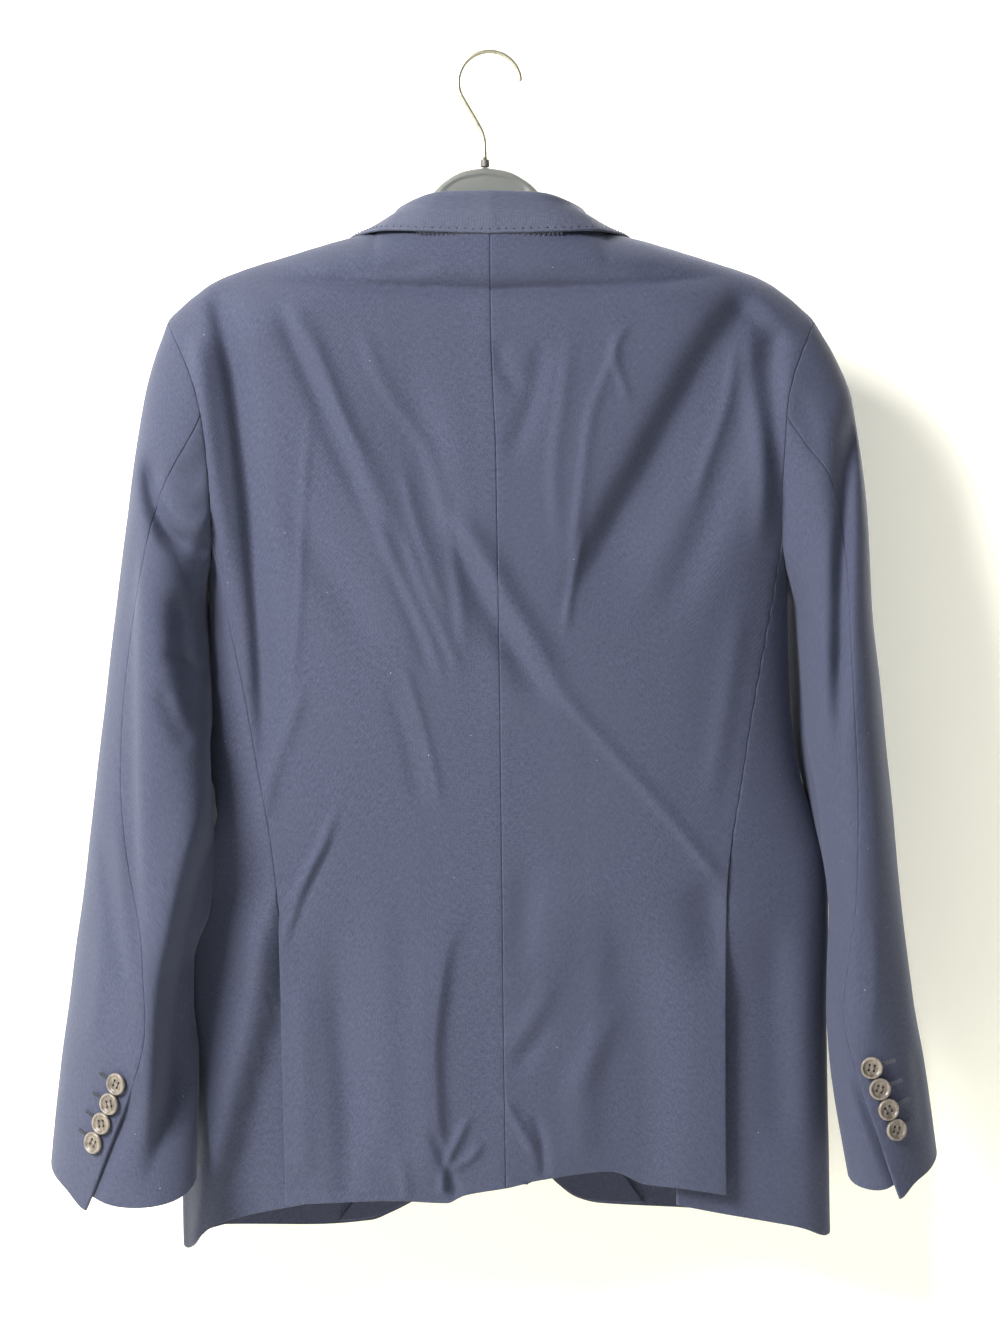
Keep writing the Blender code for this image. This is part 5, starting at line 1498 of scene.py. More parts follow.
    def piece(self, side: int, under: bool, u: Array, v: Array) -> Array:
        """Point of the top or the under sleeve: u from the elbow seam, v from the armhole."""
        front = math.radians(self.front_seam)
        gap = math.radians(self.seam_gap)
        table = self.tables[side]
        elbow = np.radians(read(table, "elbow", v))
        if under:
            lap = ease(v, self.vent_start, self.vent_end)
            angle = mix(elbow + gap - self.vent_lap * lap, FULL_TURN + front - gap, u)
            depth = self.vent_depth * lap * (1 - ease(angle - elbow, 0, self.vent_reach))
        else:
            angle = mix(elbow - gap, front + gap, u)
            depth = 0.0
        point = self.point(side, angle, v * np.ones_like(u))
        point[..., 1] += depth
        from_seam = np.abs(angle - elbow) * self.ring_radius
        near = np.exp(-((from_seam / self.corner_reach) ** 2))
        drop = -self.corner_round if under else self.corner_drop
        point[..., 2] -= drop * near * ease(v, self.corner_start, 1)
        return point

    def build(self, finishes: Finishes) -> None:
        """Builds both pieces of both sleeves."""
        edges = (Edge.SEAM, Edge.SEAM, Edge.SEAM, Edge.FOLDED)
        for side, name in SIDE_NAMES.items():
            for under, piece, width in ((False, "top_sleeve", 150), (True, "under_sleeve", 130)):
                surface = partial(self.piece, side, under)
                towards = side if under else -side
                wall = ClothWall(f"{piece}_{name}", surface, towards, width, 600, edges)
                wall.turn_up = self.turn_up
                wall.place(finishes.cloth, finishes.sleeve_lining_painted_shade)

    def cuff_place(self, side: int, level: float, beside: float) -> Axes:
        """Place on the top sleeve beside the elbow seam.

        Args:
            side: LEFT or RIGHT sleeve.
            level: Level at which the seam is left.
            beside: Distance from the seam.

        Returns:
            The point, the outward normal and the direction away from the seam.
        """

        def at(angle: float, along: float) -> Array:
            """Point of the sleeve."""
            return self.point(side, np.array(angle), np.array(along))

        along = self.buttons_row
        for _ in range(self.seam_tries):
            angle = math.radians(float(read(self.tables[side], "elbow", along)))
            start = at(angle, along)
            along += (start[2] - level) / self.rows_length
        point = start
        while np.linalg.norm(point - start) < beside:
            angle -= self.seam_step
            point = at(angle, along)
        span = 0.01
        across = unit(at(angle - span, along) - at(angle + span, along))
        down = at(angle, along + span) - at(angle, along - span)
        normal = unit(np.cross(across, down))
        return point, -normal if normal[1] > 0 else normal, across


# ---- pockets ----
@dataclass
class Pockets:
    """Flaps of the hip pockets and the welt of the breast pocket, laid on the fronts."""

    flap_turns: Pair = (1.30, 1.86)
    flap_top: float = -640
    flap_length: float = 150
    flap_height: float = 52
    flap_wall: float = 1.8
    flap_spring: float = 0.8
    flap_corner: float = 14
    lift: float = 0.4
    welt_x: Pair = (90, 176)
    welt_levels: Pair = (-342, -334)
    welt_length: float = 90
    welt_height: float = 23
    welt_wall: float = 1.6
    welt_stand: float = 2.3

    def flap(self, side: int, u: Array, v: Array) -> Array:
        """Point of a hip pocket's flap: u towards the front edge, v down."""
        from_end = np.minimum(u, 1 - u) * self.flap_length
        inside = np.clip(self.flap_corner - from_end, 0, self.flap_corner)
        shorten = self.flap_corner - np.sqrt(self.flap_corner**2 - inside**2)
        level = self.flap_top - (self.flap_height - shorten) * v
        turn = mix(*self.flap_turns, u)
        base = TORSO.point(side, turn, level)
        step = 1e-4
        ahead = TORSO.point(side, turn + step, level) - TORSO.point(side, turn - step, level)
        away = unit(np.stack([ahead[..., 1], -ahead[..., 0], 0 * level], -1) * side)
        return base + away * (self.lift + self.flap_wall + self.flap_spring * v[..., None])

    def welt(self, u: Array, v: Array) -> Array:
        """Point of the breast pocket's welt."""
        x = mix(*self.welt_x, u)
        level = mix(*self.welt_levels, u) - self.welt_height * v
        point = TORSO.point(LEFT, TORSO.turn_at(x, level, front=True), level)
        point[..., 1] += self.welt_stand
        return point

    def build(self, finishes: Finishes) -> None:
        """Builds the flaps and the welt."""
        plain = Undulation(seed=3, rise=0.12)
        size = (self.flap_length, self.flap_height)
        for side, name in SIDE_NAMES.items():
            flap = partial(self.flap, side)
            wall = ClothWall(f"pocket_flap_{name}", flap, -side, *size, FOLDED_ROUND, pitch=2.0)
            wall.uneven = plain
            wall.place(finishes.cloth, finishes.lining)
        size = (self.welt_length, self.welt_height)
        wall = ClothWall("breast_welt", self.welt, LEFT, *size, FOLDED_ROUND, self.welt_wall, pitch=1.6)
        wall.uneven = plain
        wall.place(finishes.cloth, finishes.cloth)


# ---- small parts ----
def frame_at(normal: Array, towards: Array) -> Axes:
    """Axes of a flat thing on a surface.

    Args:
        normal: Outward normal of the surface.
        towards: Rough direction of the thing's own x.

    Returns:
        Its x, y and z, each one long, z along the normal.
    """
    z = unit(np.asarray(normal, float))
    x = unit(towards - z * float(np.dot(towards, z)))
    return x, np.cross(z, x), z


def mesh_object(name: str, points: Array, faces: list, finish: Material) -> Object:
    """Smooth object of points in millimetres, with its faces pointing out."""
    mesh = bpy.data.meshes.new(name)
    mesh.from_pydata((np.asarray(points) * MM).tolist(), [], faces)
    shape = bmesh.new()
    shape.from_mesh(mesh)
    bmesh.ops.recalc_face_normals(shape, faces=shape.faces)
    shape.to_mesh(mesh)
    shape.free()
    mesh.materials.append(finish)
    mesh.shade_smooth()
    return add_object(name, mesh)


def ring_faces(rings: int, sides: int, first: int = 0) -> list[tuple[int, ...]]:
    """Quads between rings of points, sides points each, from point number first on."""
    faces = []
    for i in range(first, first + (rings - 1) * sides, sides):
        for k in range(sides):
            a = i + k
            b = i + (k + 1) % sides
            faces.append((a, b, b + sides, a + sides))
    return faces


def tube_faces(rings: int, sides: int) -> list[tuple[int, ...]]:
    """Faces of a tube of rings with its two ends closed."""
    last = (rings - 1) * sides
    return [tuple(range(sides)), *ring_faces(rings, sides), tuple(range(last, last + sides))]


@dataclass
class ThreadWork:
    """Stitches gathered into one mesh: each is a short, plump bar of thread."""

    name: str
    sides: int = 6
    points: list = field(default_factory=list)
    faces: list = field(default_factory=list)

    def bar(self, start: Array, end: Array, normal: Array, radius: float, arch: float = 0.0) -> None:
        """Adds one stitch.

        Args:
            start: Where the thread comes out.
            end: Where it goes back in.
            normal: Outward normal of the cloth.
            radius: Half the thread's width.
            arch: How far its middle stands off.
        """
        way = unit(end - start)
        x = unit(np.cross(way, normal))
        z = np.cross(x, way)
        first = len(self.points)
        stations = ((0, 0.35, 0), (0.16, 0.9, 0.5), (0.5, 1, 1), (0.84, 0.9, 0.5), (1, 0.35, 0))
        for along, width, rise in stations:
            centre = mix(start, end, along) + normal * arch * rise
            for k in range(self.sides):
                angle = FULL_TURN * k / self.sides
                self.points.append(centre + radius * width * (math.cos(angle) * x + math.sin(angle) * z))
        count = len(stations)
        self.faces += ring_faces(count, self.sides, first)
        self.faces.append(tuple(range(first, first + self.sides)))
        last = first + (count - 1) * self.sides
        self.faces.append(tuple(range(last + self.sides - 1, last - 1, -1)))

    def build(self, finish: Material) -> Object:
        """Makes the mesh of all the stitches."""
        return mesh_object(self.name, self.points, self.faces, finish)


@dataclass
class Button:
    """Four-hole horn button: a turned disc with a raised rim, its holes and its thread.

    outline goes round its turned edge from the back to the face, as shares of radius and height.
    """

    radius: float
    height: float
    outline: tuple[Pair, ...] = (
        (0.62, 0), (0.80, 0.05), (0.93, 0.22), (0.99, 0.42), (1, 0.6), (0.985, 0.8), (0.94, 0.94),
        (0.88, 1), (0.80, 0.97), (0.74, 0.86), (0.70, 0.74), (0.62, 0.66), (0.50, 0.62), (0.30, 0.6),
    )
    rings: int = 40
    hole_radius_share: float = 0.125
    hole_place_share: float = 0.235
    hole_sides: int = 14
    sharp_turn: float = math.radians(38)
    thread_level_share: float = 0.62
    strand_aside: float = 0.17
    strand_radius: float = 0.15
    strand_arch: float = 0.2
    shank_place_share: float = 0.5
    shank_ends: Pair = (-1.4, 0.3)
    shank_radius: float = 0.4

    def mesh(self, name: str, finish: Material) -> bpy.types.Mesh:
        """Turns the outline and bores the four holes.

        Args:
            name: Name of the mesh.
            finish: Its material.

        Returns:
            The mesh, its back at z = 0 in metres.
        """
        points = [(0, 0, 0)]
        for reach, rise in self.outline:
            for k in range(self.rings):
                angle = FULL_TURN * k / self.rings
                out = self.radius * reach
                points.append((out * math.cos(angle), out * math.sin(angle), self.height * rise))
        points.append((0, 0, self.height * self.outline[-1][1]))
        faces = [(0, 1 + (k + 1) % self.rings, 1 + k) for k in range(self.rings)]
        count = len(self.outline)
        faces += ring_faces(count, self.rings, 1)
        first = 1 + (count - 1) * self.rings
        faces += [(first + k, first + (k + 1) % self.rings, len(points) - 1) for k in range(self.rings)]
        disc = mesh_object(name, np.array(points, float), faces, finish)
        drills = []
        for k in range(4):
            angle = FULL_TURN * (k + 0.5) / 4
            reach = self.radius * self.hole_place_share * math.sqrt(2)
            shape = bmesh.new()
            size = self.radius * self.hole_radius_share * MM
            form = dict(segments=self.hole_sides, radius1=size, radius2=size, depth=4 * self.height * MM)
            bmesh.ops.create_cone(shape, cap_ends=True, **form)
            drill_mesh = bpy.data.meshes.new("drill")
            shape.to_mesh(drill_mesh)
            shape.free()
            drill = add_object("drill", drill_mesh)
            drill.location = (reach * math.cos(angle) * MM, reach * math.sin(angle) * MM, 0)
            drills.append(drill)
            cut = disc.modifiers.new("hole", "BOOLEAN")
            cut.object = drill
            cut.operation = "DIFFERENCE"
        bpy.context.view_layer.update()
        graph = bpy.context.evaluated_depsgraph_get()
        made = bpy.data.meshes.new_from_object(disc.evaluated_get(graph))
        made.name = name
        for old in (disc, *drills):
            bpy.data.objects.remove(old, do_unlink=True)
        made.shade_smooth()
        made.set_sharp_from_angle(angle=self.sharp_turn)
        return made

    def place(
        self, name: str, mesh: bpy.types.Mesh, at: Array, axes: Axes
    ) -> Object:
        """Makes one button at a place, its points in world space.

        Args:
            name: Name of the piece.
            mesh: The turned mesh.
            at: Centre of its back.
            axes: Its x, y and z.

        Returns:
            The piece.
        """
        made = mesh.copy()
        made.name = name
        points = np.empty(len(made.vertices) * 3)
        made.vertices.foreach_get("co", points)
        points = points.reshape(-1, 3) @ np.array(axes) + np.asarray(at) * MM
        made.vertices.foreach_set("co", points.astype(np.float32).ravel())
        made.update()
        return add_object(name, made)

    def sew(self, work: ThreadWork, at: Array, axes: Axes) -> None:
        """Adds the thread through the holes, two bars each of two strands, and the shank."""
        x, y, z = axes
        level = self.height * self.thread_level_share
        reach = self.radius * self.hole_place_share
        for across in (-1, 1):
            for strand in (-1, 1):
                middle = at + x * (across * reach + strand * self.strand_aside) + z * level
                ends = (middle - y * reach, middle + y * reach)
                work.bar(*ends, z, self.strand_radius, self.strand_arch)
        for across in (-1, 1):
            for along in (-1, 1):
                share = self.shank_place_share
                base = at + x * across * reach * share + y * along * reach * share
                low, high = self.shank_ends
                work.bar(base + z * low, base + z * high, y, self.shank_radius)


@dataclass
class Buttons:
    """All the buttons, with their thread and their worked buttonholes.

    Each stitch is given as its thread's radius and how far its middle stands off.
    """

    sleeves: Sleeves
    small: Button = field(default_factory=lambda: Button(7.6, 3.6))
    large: Button = field(default_factory=lambda: Button(10, 4.4))
    small_lift: float = 0.9
    large_lift: float = 0.6
    cuffs: dict[int, tuple] = by_side(
        ((-720, 12.5), (-734.5, 12.2), (-749, 12.2), (-763.5, 12.5)),
        ((-708.5, 12), (-723.5, 12.4), (-738.5, 12.8), (-753.5, 12.6)),
    )
    front_levels: Pair = (-545, -655)
    hole_start: float = 6.5
    hole_length: float = 10.5
    hole_lift: float = 0.45
    front_hole_start: Triple = (-4.0, 0.5, 0.0)
    front_hole_length: float = 22.0
    cuff_tilt: float = 0.42
    purl_spacing: float = 0.62
    purl_ends: Pair = (0.12, 1.25)
    purl_stitch: Pair = (0.3, 0.28)
    eyelet_stitches: int = 9
    eyelet_ends: Pair = (0.5, 1.7)
    bar_half_length: float = 1.3
    bar_stitch: Pair = (0.36, 0.3)

    def buttonhole(
        self, work: ThreadWork, start: Array, way: Array, normal: Array, length: float, sink: Callable
    ) -> None:
        """Works a buttonhole: purl stitches down both lips, an eyelet and a bar.

        Args:
            work: Where its thread goes.
            start: Its end by the button.
            way: Its direction.
            normal: Outward normal of the cloth.
            length: Its length.
            sink: Moves a point onto the cloth.
        """
        aside = unit(np.cross(normal, way))
        near, far = self.purl_ends
        count = int(length / self.purl_spacing)
        for k in range(count):
            place = start + way * length * (k + 0.5) / count
            for lip in (-1, 1):
                inner = sink(place + aside * lip * near)
                outer = sink(place + aside * lip * far)
                work.bar(inner, outer, normal, *self.purl_stitch)
        near, far = self.eyelet_ends
        for k in range(self.eyelet_stitches):
            angle = math.pi * (k / (self.eyelet_stitches - 1) - 0.5)
            spoke = way * math.cos(angle) * -1 + aside * math.sin(angle)
            work.bar(sink(start + spoke * near), sink(start + spoke * far), normal, *self.purl_stitch)
        end = start + way * length
        half = aside * self.bar_half_length
        work.bar(sink(end - half), sink(end + half), normal, *self.bar_stitch)

    def build_cuffs(self, finishes: Finishes, work: ThreadWork) -> None:
        """Cuff buttons with the buttonholes that run on beyond them."""
        mesh = self.small.mesh("small button", finishes.horn)
        for side, name in SIDE_NAMES.items():
            for number, (level, beside) in enumerate(self.cuffs[side], 1):
                point, normal, across = self.sleeves.cuff_place(side, level, beside)
                turn = 0.5 * math.sin(number * 2.3 + side)
                axes = frame_at(normal, across + np.array([0, 0, turn]))
                at = point + normal * self.small_lift
                node = f"cuff_button_{name}_{number}"
                obj = self.small.place(f"{node}_horn", mesh, at, axes)
                place_piece(obj, "horn", node)
                self.small.sew(work, at, axes)
                way = unit(across + np.array([0, 0, self.cuff_tilt]))
                way = unit(way - normal * float(np.dot(way, normal)))
                start = point + way * self.hole_start
                lift = partial(np.add, normal * self.hole_lift)
                self.buttonhole(work, start, way, normal, self.hole_length, lift)

    def build_fronts(self, finishes: Finishes, work: ThreadWork) -> None:
        """Front buttons, on the right front and through the left one's buttonholes."""
        mesh = self.large.mesh("large button", finishes.horn)
        normal = np.array((0.0, 1.0, 0.0))
        for number, level in enumerate(self.front_levels, 1):
            turn = TORSO.turn_at(np.array(0.0), level, front=True)
            point = TORSO.point(LEFT, turn, np.array(float(level)))
            at = point + normal * self.large_lift
            axes = frame_at(normal, np.array([1.0, 0, 0.3 * number]))
            node = f"front_button_{number}"
            place_piece(self.large.place(f"{node}_horn", mesh, at, axes), "horn", node)
            self.large.sew(work, at, axes)
            start = point + np.array(self.front_hole_start)
            way = np.array((1.0, 0.0, 0.0))
            self.buttonhole(work, start - way, way, normal, self.front_hole_length, np.asarray)

    def build(self, finishes: Finishes) -> None:
        """Builds the buttons and one mesh of all their thread."""
        work = ThreadWork("button_thread")
        self.build_cuffs(finishes, work)
        self.build_fronts(finishes, work)
        place_piece(work.build(finishes.thread), "cloth")


@dataclass
class Stitching:
    """Pick stitches beside the collar's, lapels', fronts' and flaps' edges, and undercollar work."""

    collar: Collar
    facings: Facings
    pockets: Pockets
    spacing: float = 5.7
    length: float = 1.7
    radius: float = 0.42
    lift: float = 0.25
    arch: float = 0.15
    inset: float = 3.4
    step: float = 1e-3
    collar_places: tuple[float, float, int] = (0.01, 0.99, 240)
    lapel_places: tuple[float, float, int] = (0.02, 0.9, 300)
    lapel_end: float = 0.52
    lapel_width: float = 60
    flap_places: tuple[float, float, int] = (0.03, 0.97, 60)
    flap_row: float = 0.93
    zigzag_places: tuple[float, float, int] = (0.38, 0.62, 62)
    zigzag_row: float = 0.995
    zigzag_depth: float = 1.9
    zigzag_rises: Pair = (1.2, -2.4)
    zigzag_stitch: Pair = (0.32, 0.1)

    def run(self, work: ThreadWork, line: Array, normals: Array) -> None:
        """Adds pick stitches at an even spacing along a line of points."""
        steps = np.linalg.norm(np.diff(line, axis=0), axis=-1)
        places = np.concatenate([[0], np.cumsum(steps)])
        for start in np.arange(self.spacing / 2, places[-1] - self.length, self.spacing):
            ends = []
            for place in (start, start + self.length):
                ends.append(np.array([np.interp(place, places, line[:, k]) for k in range(3)]))
            normal = unit(np.array([np.interp(start, places, normals[:, k]) for k in range(3)]))
            lift = normal * self.lift
            work.bar(ends[0] + lift, ends[1] + lift, normal, self.radius, self.arch)

    def line_on(self, surface: Surface, u: Array, v: Array, towards: int) -> tuple[Array, Array]:
        """Points and normals along a line of a surface's shares."""
        step = self.step
        here = surface(u, v)
        du = surface(np.minimum(u + step, 1), v) - surface(np.maximum(u - step, 0), v)
        dv = surface(u, np.minimum(v + step, 1)) - surface(u, np.maximum(v - step, 0))
        return here, towards * unit(np.cross(du, dv))

    def build(self, finishes: Finishes) -> None:
        """Builds all the stitching as one mesh."""
        work = ThreadWork("edge_stitches")
        places = np.linspace(*self.collar_places)
        share = 1 - self.inset / self.collar.length
        self.run(work, *self.line_on(self.collar.point, places, np.full_like(places, share), -1))
        for side in SIDE_NAMES:
            surface = partial(self.facings.point, side)
            down = np.linspace(*self.lapel_places)
            across = 1 - (1 - self.facings.lapel_start) * self.inset / self.lapel_width
            lapel = down[down < self.lapel_end]
            self.run(work, *self.line_on(surface, np.full_like(lapel, across), lapel, side))
            flap = partial(self.pockets.flap, side)
            u = np.linspace(*self.flap_places)
            self.run(work, *self.line_on(flap, u, np.full_like(u, self.flap_row), -side))
        self.zigzag(work)
        place_piece(work.build(finishes.thread), "cloth")

    def zigzag(self, work: ThreadWork) -> None:
        """Zigzag that holds the undercollar along the fall's edge, seen just below it."""
        places = np.linspace(*self.zigzag_places)
        rows = np.full_like(places, self.zigzag_row)
        edge, normal = self.line_on(self.collar.point, places, rows, -1)
        under = edge - normal * self.zigzag_depth
        inside, outside = (under + np.array([0, 0, rise]) for rise in self.zigzag_rises)
        for k in range(len(places) - 1):
            a, b = (inside[k], outside[k + 1]) if k % 2 else (outside[k], inside[k + 1])
            work.bar(a, b, -normal[k], *self.zigzag_stitch)


# ---- hanger ----
@dataclass
class Hanger:
    """Moulded plastic hanger with a sunk panel in its hump, its ferrule and its wire hook."""

    sections: Table = table_of(
        x=(0, 15, 30, 40, 52, 60, 70, 80, 100, 149, 180, 196),
        top=(-81, -83.5, -91.5, -101.5, -114, -122, -128.5, -132.5, -136.5, -150.5, -161, -168.5),
        height=(46, 45, 40, 34, 27, 24, 22, 21, 21, 22, 22, 18),
        half_depth=(6, 6, 6.5, 7, 7.5, 8, 8.5, 9, 11, 13.5, 14, 12),
    )
    centre: float = -3.5
    power: float = 2.5
    sides: int = 64
    steps: int = 150
    panel_half_width: float = 31
    panel_side_ease: float = 1.5
    panel_rim: float = 5.5
    panel_rim_ease: float = 1.0
    panel_round: Pair = (0.25, 0.35)
    panel_depth: float = 1.5
    end_round: float = 7.0
    end_squeeze: float = 0.98
    wire_radius: float = 1.5
    hook_radius: float = 22
    hook_centre: Pair = (-0.5, -20.5)
    stem: tuple[Pair, ...] = (
        (-3.6, -74.9), (-3.9, -68), (-4.3, -61), (-6.8, -53.5), (-12.2, -44),
    )
    arc: Pair = (math.radians(205), math.radians(2))
    arc_steps: int = 60
    wire_steps: int = 3
    wire_sides: int = 20
    tip_round: float = 0.995
    ferrule_radius: float = 3.2
    ferrule_levels: Pair = (-80.6, -75.2)
    # Outline of the ferrule from its foot up, as shares of its radius and its height.
    ferrule_outline: tuple[Pair, ...] = (
        (0.9, 0), (0.98, 0.03), (1, 0.08), (0.99, 0.3), (0.96, 0.6), (0.93, 0.86), (0.9, 0.94),
        (0.8, 0.98), (0.62, 1),
    )

    def body_point(self, share: Array, angle: Array) -> Array:
        """Point of the moulded body: share along it from -1 to 1, angle round it."""
        reach = self.sections["x"][-1]
        x = share * reach
        top = read(self.sections, "top", np.abs(x))
        half = read(self.sections, "height", np.abs(x)) / 2
        depth = read(self.sections, "half_depth", np.abs(x))
        cosine = np.cos(angle)
        sine = np.sin(angle)
        y = depth * np.sign(cosine) * np.abs(cosine) ** (2 / self.power)
        z = half * np.sign(sine) * np.abs(sine) ** (2 / self.power)
        half_width = self.panel_half_width
        in_panel = 1 - ease(np.abs(x), half_width - self.panel_side_ease, half_width)
        in_panel = in_panel * ease(half - z, self.panel_rim - self.panel_rim_ease, self.panel_rim)
        in_panel = in_panel * ease(np.abs(cosine), *self.panel_round)
        y = y - np.sign(cosine) * self.panel_depth * in_panel
        centre_x = x + self.centre * (1 - np.abs(share))
        return np.stack([centre_x, y, top - half + z], -1)

    def build_body(self, finishes: Finishes) -> None:
        """Builds the moulded body."""
        share = np.linspace(-1, 1, self.steps + 1)
        angle = np.linspace(0, FULL_TURN, self.sides, endpoint=False)
        grid = self.body_point(*np.meshgrid(share, angle, indexing="ij"))
        inside = (1 - np.abs(share)) * self.sections["x"][-1]
        squeeze = np.sqrt(1 - np.clip(1 - inside / self.end_round, 0, self.end_squeeze) ** 2)
        middle = grid.mean(axis=1, keepdims=True)
        grid = middle + (grid - middle) * squeeze[:, None, None]
        faces = tube_faces(self.steps + 1, self.sides)
        obj = mesh_object("hanger_body", grid.reshape(-1, 3), faces, finishes.plastic)
        place_piece(obj, "plastic", "hanger")

    def build_hook(self, finishes: Finishes) -> None:
        """Builds the ferrule and the wire hook with its rounded tip."""
        route = [np.array(point) for point in self.stem]
        for k in range(self.arc_steps + 1):
            angle = mix(*self.arc, k / self.arc_steps)
            spoke = np.array((math.cos(angle), math.sin(angle)))
            route.append(np.array(self.hook_centre) + self.hook_radius * spoke)
        line = smooth_path(np.array(route), self.wire_steps)
        places = np.concatenate([[0], np.cumsum(np.linalg.norm(np.diff(line, axis=0), axis=1))])
        tip = np.clip(1 - (places[-1] - places) / self.wire_radius, 0, self.tip_round)
        widths = self.wire_radius * np.sqrt(1 - tip**2)
        obj = self.wire("hook_wire", line, widths, finishes.wire)
        place_piece(obj, "steel", "hanger_hook")
        low, high = self.ferrule_levels
        shares = np.array(self.ferrule_outline)
        line = np.array([(self.stem[0][0], low + (high - low) * rise) for rise in shares[:, 1]])
        widths = self.ferrule_radius * shares[:, 0]
        place_piece(self.wire("hook_collar", line, widths, finishes.ferrule), "steel", "hook_ferrule")

    def wire(self, name: str, line: Array, widths: Array, finish: Material) -> Object:
        """Round bar along a line of (x, level) points with a radius at each."""
        sides = self.wire_sides
        ways = unit(np.gradient(line, axis=0))
        points = []
        for (x, level), way, width in zip(line, ways, widths):
            for k in range(sides):
                angle = FULL_TURN * k / sides
                out = width * math.cos(angle)
                points.append((x - way[1] * out, width * math.sin(angle), level + way[0] * out))
        return mesh_object(name, np.array(points), tube_faces(len(line), sides), finish)

    def build(self, finishes: Finishes) -> None:
        """Builds the body, the ferrule and the hook."""
        self.build_body(finishes)
        self.build_hook(finishes)


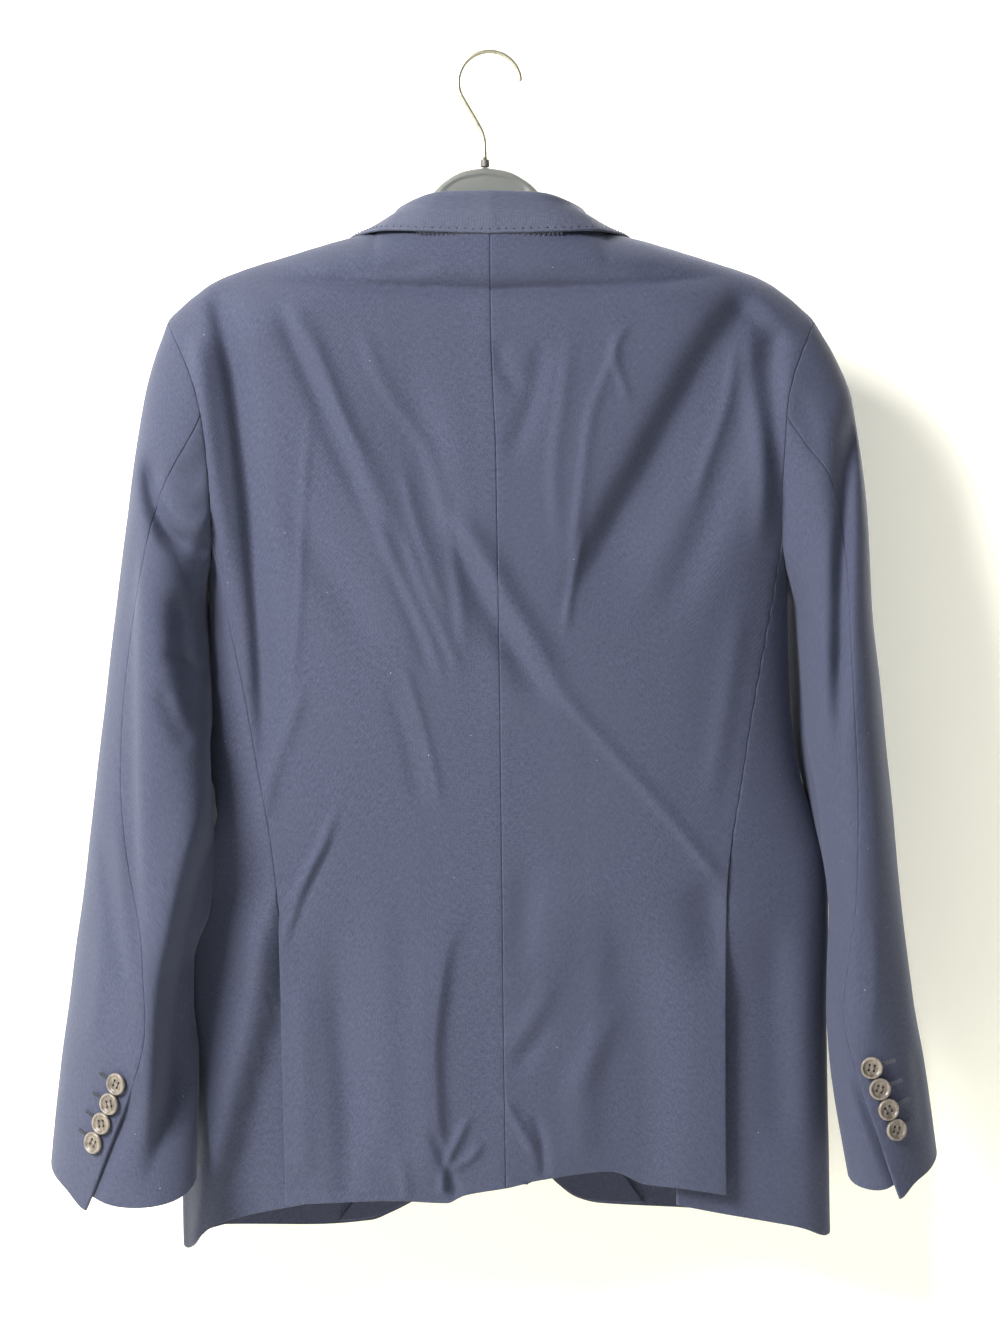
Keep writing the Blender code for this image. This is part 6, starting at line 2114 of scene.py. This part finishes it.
# ---- studio ----
@dataclass(frozen=True)
class Studio:
    """Plain pale wall and floor, soft lights and the camera."""

    wall_y_m: float = 0.095
    wall_half_m: float = 3.0
    floor_z_m: float = -1.12
    floor_y_m: float = 2.6
    camera_m: Triple = (0.007, -2.2, -0.435)
    frame_height_m: float = 0.946
    image_size: tuple[int, int] = (1000, 1333)
    sensor_mm: float = 36.0
    wall_colour: Colour = (0.92, 0.905, 0.8, 1)
    floor_colour: Colour = (0.82, 0.815, 0.79, 1)
    # Strength of the wall's painted glow, which stands in for bounce light and lifts the wall's shadows.
    wall_glow: float = 0.28
    sky_colour: Colour = (0.86, 0.93, 1.1, 1)
    sky: float = 0.2
    aim: Triple = (0.0, 0.0, -0.42)
    # Name, place in metres, size in metres, power in watts and colour of each light.
    lights: tuple[tuple, ...] = (
        ("window", (-1.73, -1.73, 0.82), 1.0, 185, (1.0, 0.985, 0.97)),
        ("room fill", (1.6, -2.4, -0.6), 2.0, 4, (0.95, 0.97, 1.0)),
        ("far window", (1.1, 2.2, 0.3), 1.2, 46, (1.0, 0.99, 0.97)),
        ("far fill", (-1.5, 2.2, -0.3), 2.0, 12, (0.96, 0.98, 1.0)),
    )

    def plane(self, name: str, corners: list[Triple], finish: Material) -> None:
        """Adds one flat backdrop."""
        mesh = bpy.data.meshes.new(name)
        mesh.from_pydata(corners, [], [(0, 1, 2, 3)])
        mesh.materials.append(finish)
        add_object(name, mesh)

    def wall_paint(self) -> Material:
        """Pale matt paint with a painted glow that stands in for bounce light; it is seen from the room's
        side only and lets light through.
        """
        made, tree, shader = start_material("wall paint")
        rolled = tree.noise(tree.place(), 320, 3)
        inputs = {
            "Normal": tree.bump(rolled, 0.1, 0.0004),
            "Base Color": self.wall_colour,
            "Roughness": 0.9,
            # Painted glow: the wall shines on its own as bounce light, lifting its shadows and lighting the
            # garment from behind.
            "Emission Color": self.wall_colour,
            "Emission Strength": self.wall_glow,
        }
        tree.feed(shader, inputs)
        clear = tree.add("ShaderNodeBsdfTransparent")
        ray = tree.add("ShaderNodeLightPath").outputs["Is Shadow Ray"]
        form = tree.add("ShaderNodeNewGeometry").outputs["Backfacing"]
        sockets = {0: tree.maths("MAXIMUM", form, ray), 1: shader.outputs[0], 2: clear.outputs[0]}
        choice = tree.add("ShaderNodeMixShader", sockets).outputs[0]
        tree.feed(made.node_tree.nodes["Material Output"], {"Surface": choice})
        return made

    def floor_paint(self) -> Material:
        """Pale matt floor."""
        made, tree, shader = start_material("floor paint")
        tone = tree.blend(tree.noise(tree.place(), 9, 4), self.wall_colour, self.floor_colour)
        tree.feed(shader, {"Base Color": tone, "Roughness": 0.8})
        return made

    def light(self, name: str, at: tuple, size_m: float, power: float, colour: tuple) -> None:
        """Adds one soft square light that points at the garment."""
        lamp = bpy.data.lights.new(name, "AREA")
        lamp.size = size_m
        lamp.energy = power
        lamp.color = colour
        obj = add_object(name, lamp)
        obj.location = at
        way = np.array(self.aim, float) - np.array(at, float)
        pan = math.atan2(way[0], -way[1])
        tilt = math.atan2(way[2], math.hypot(way[0], way[1]))
        obj.rotation_euler = (math.pi / 2 + tilt, 0, math.pi + pan)

    def build(self) -> None:
        """Builds the backdrop, the lights and the camera."""
        y = self.wall_y_m
        half = self.wall_half_m
        low = self.floor_z_m
        wall = [(-half, y, low), (half, y, low), (half, y, half), (-half, y, half)]
        self.plane("wall", wall, self.wall_paint())
        deep = self.floor_y_m
        floor = [(-half, -deep, low), (half, -deep, low), (half, deep, low), (-half, deep, low)]
        self.plane("floor", floor, self.floor_paint())
        world = bpy.data.worlds.new("room light")
        world.use_nodes = True
        Tree(world.node_tree).feed(world.node_tree.nodes["Background"], {0: self.sky_colour, 1: self.sky})
        bpy.context.scene.world = world
        for light in self.lights:
            self.light(*light)
        self.camera()
        scene = bpy.context.scene
        scene.view_settings.view_transform = "Standard"

    def camera(self) -> None:
        """Adds the camera straight behind the garment."""
        lens = bpy.data.cameras.new("camera")
        lens.sensor_fit = "VERTICAL"
        lens.sensor_height = self.sensor_mm
        lens.sensor_width = self.sensor_mm * self.image_size[0] / self.image_size[1]
        lens.lens = self.sensor_mm * -self.camera_m[1] / self.frame_height_m
        lens.dof.use_dof = False
        obj = add_object("camera", lens)
        obj.location = self.camera_m
        obj.rotation_euler = (math.pi / 2, 0, 0)
        bpy.context.scene.camera = obj


def main() -> None:
    """Builds the garment, its hanger and the studio round the frame."""
    logging.basicConfig(level=logging.INFO, format="%(name)s: %(message)s")
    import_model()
    finishes = Finishes()
    body = Body()
    facings = Facings(body)
    collar = Collar()
    sleeves = Sleeves(body)
    pockets = Pockets()
    for part in (body, facings, collar, sleeves, pockets, Buttons(sleeves)):
        part.build(finishes)
        LOG.info("built %s", type(part).__name__)
    Stitching(collar, facings, pockets).build(finishes)
    Hanger().build(finishes)
    Studio().build()


if __name__ == "__main__":
    main()
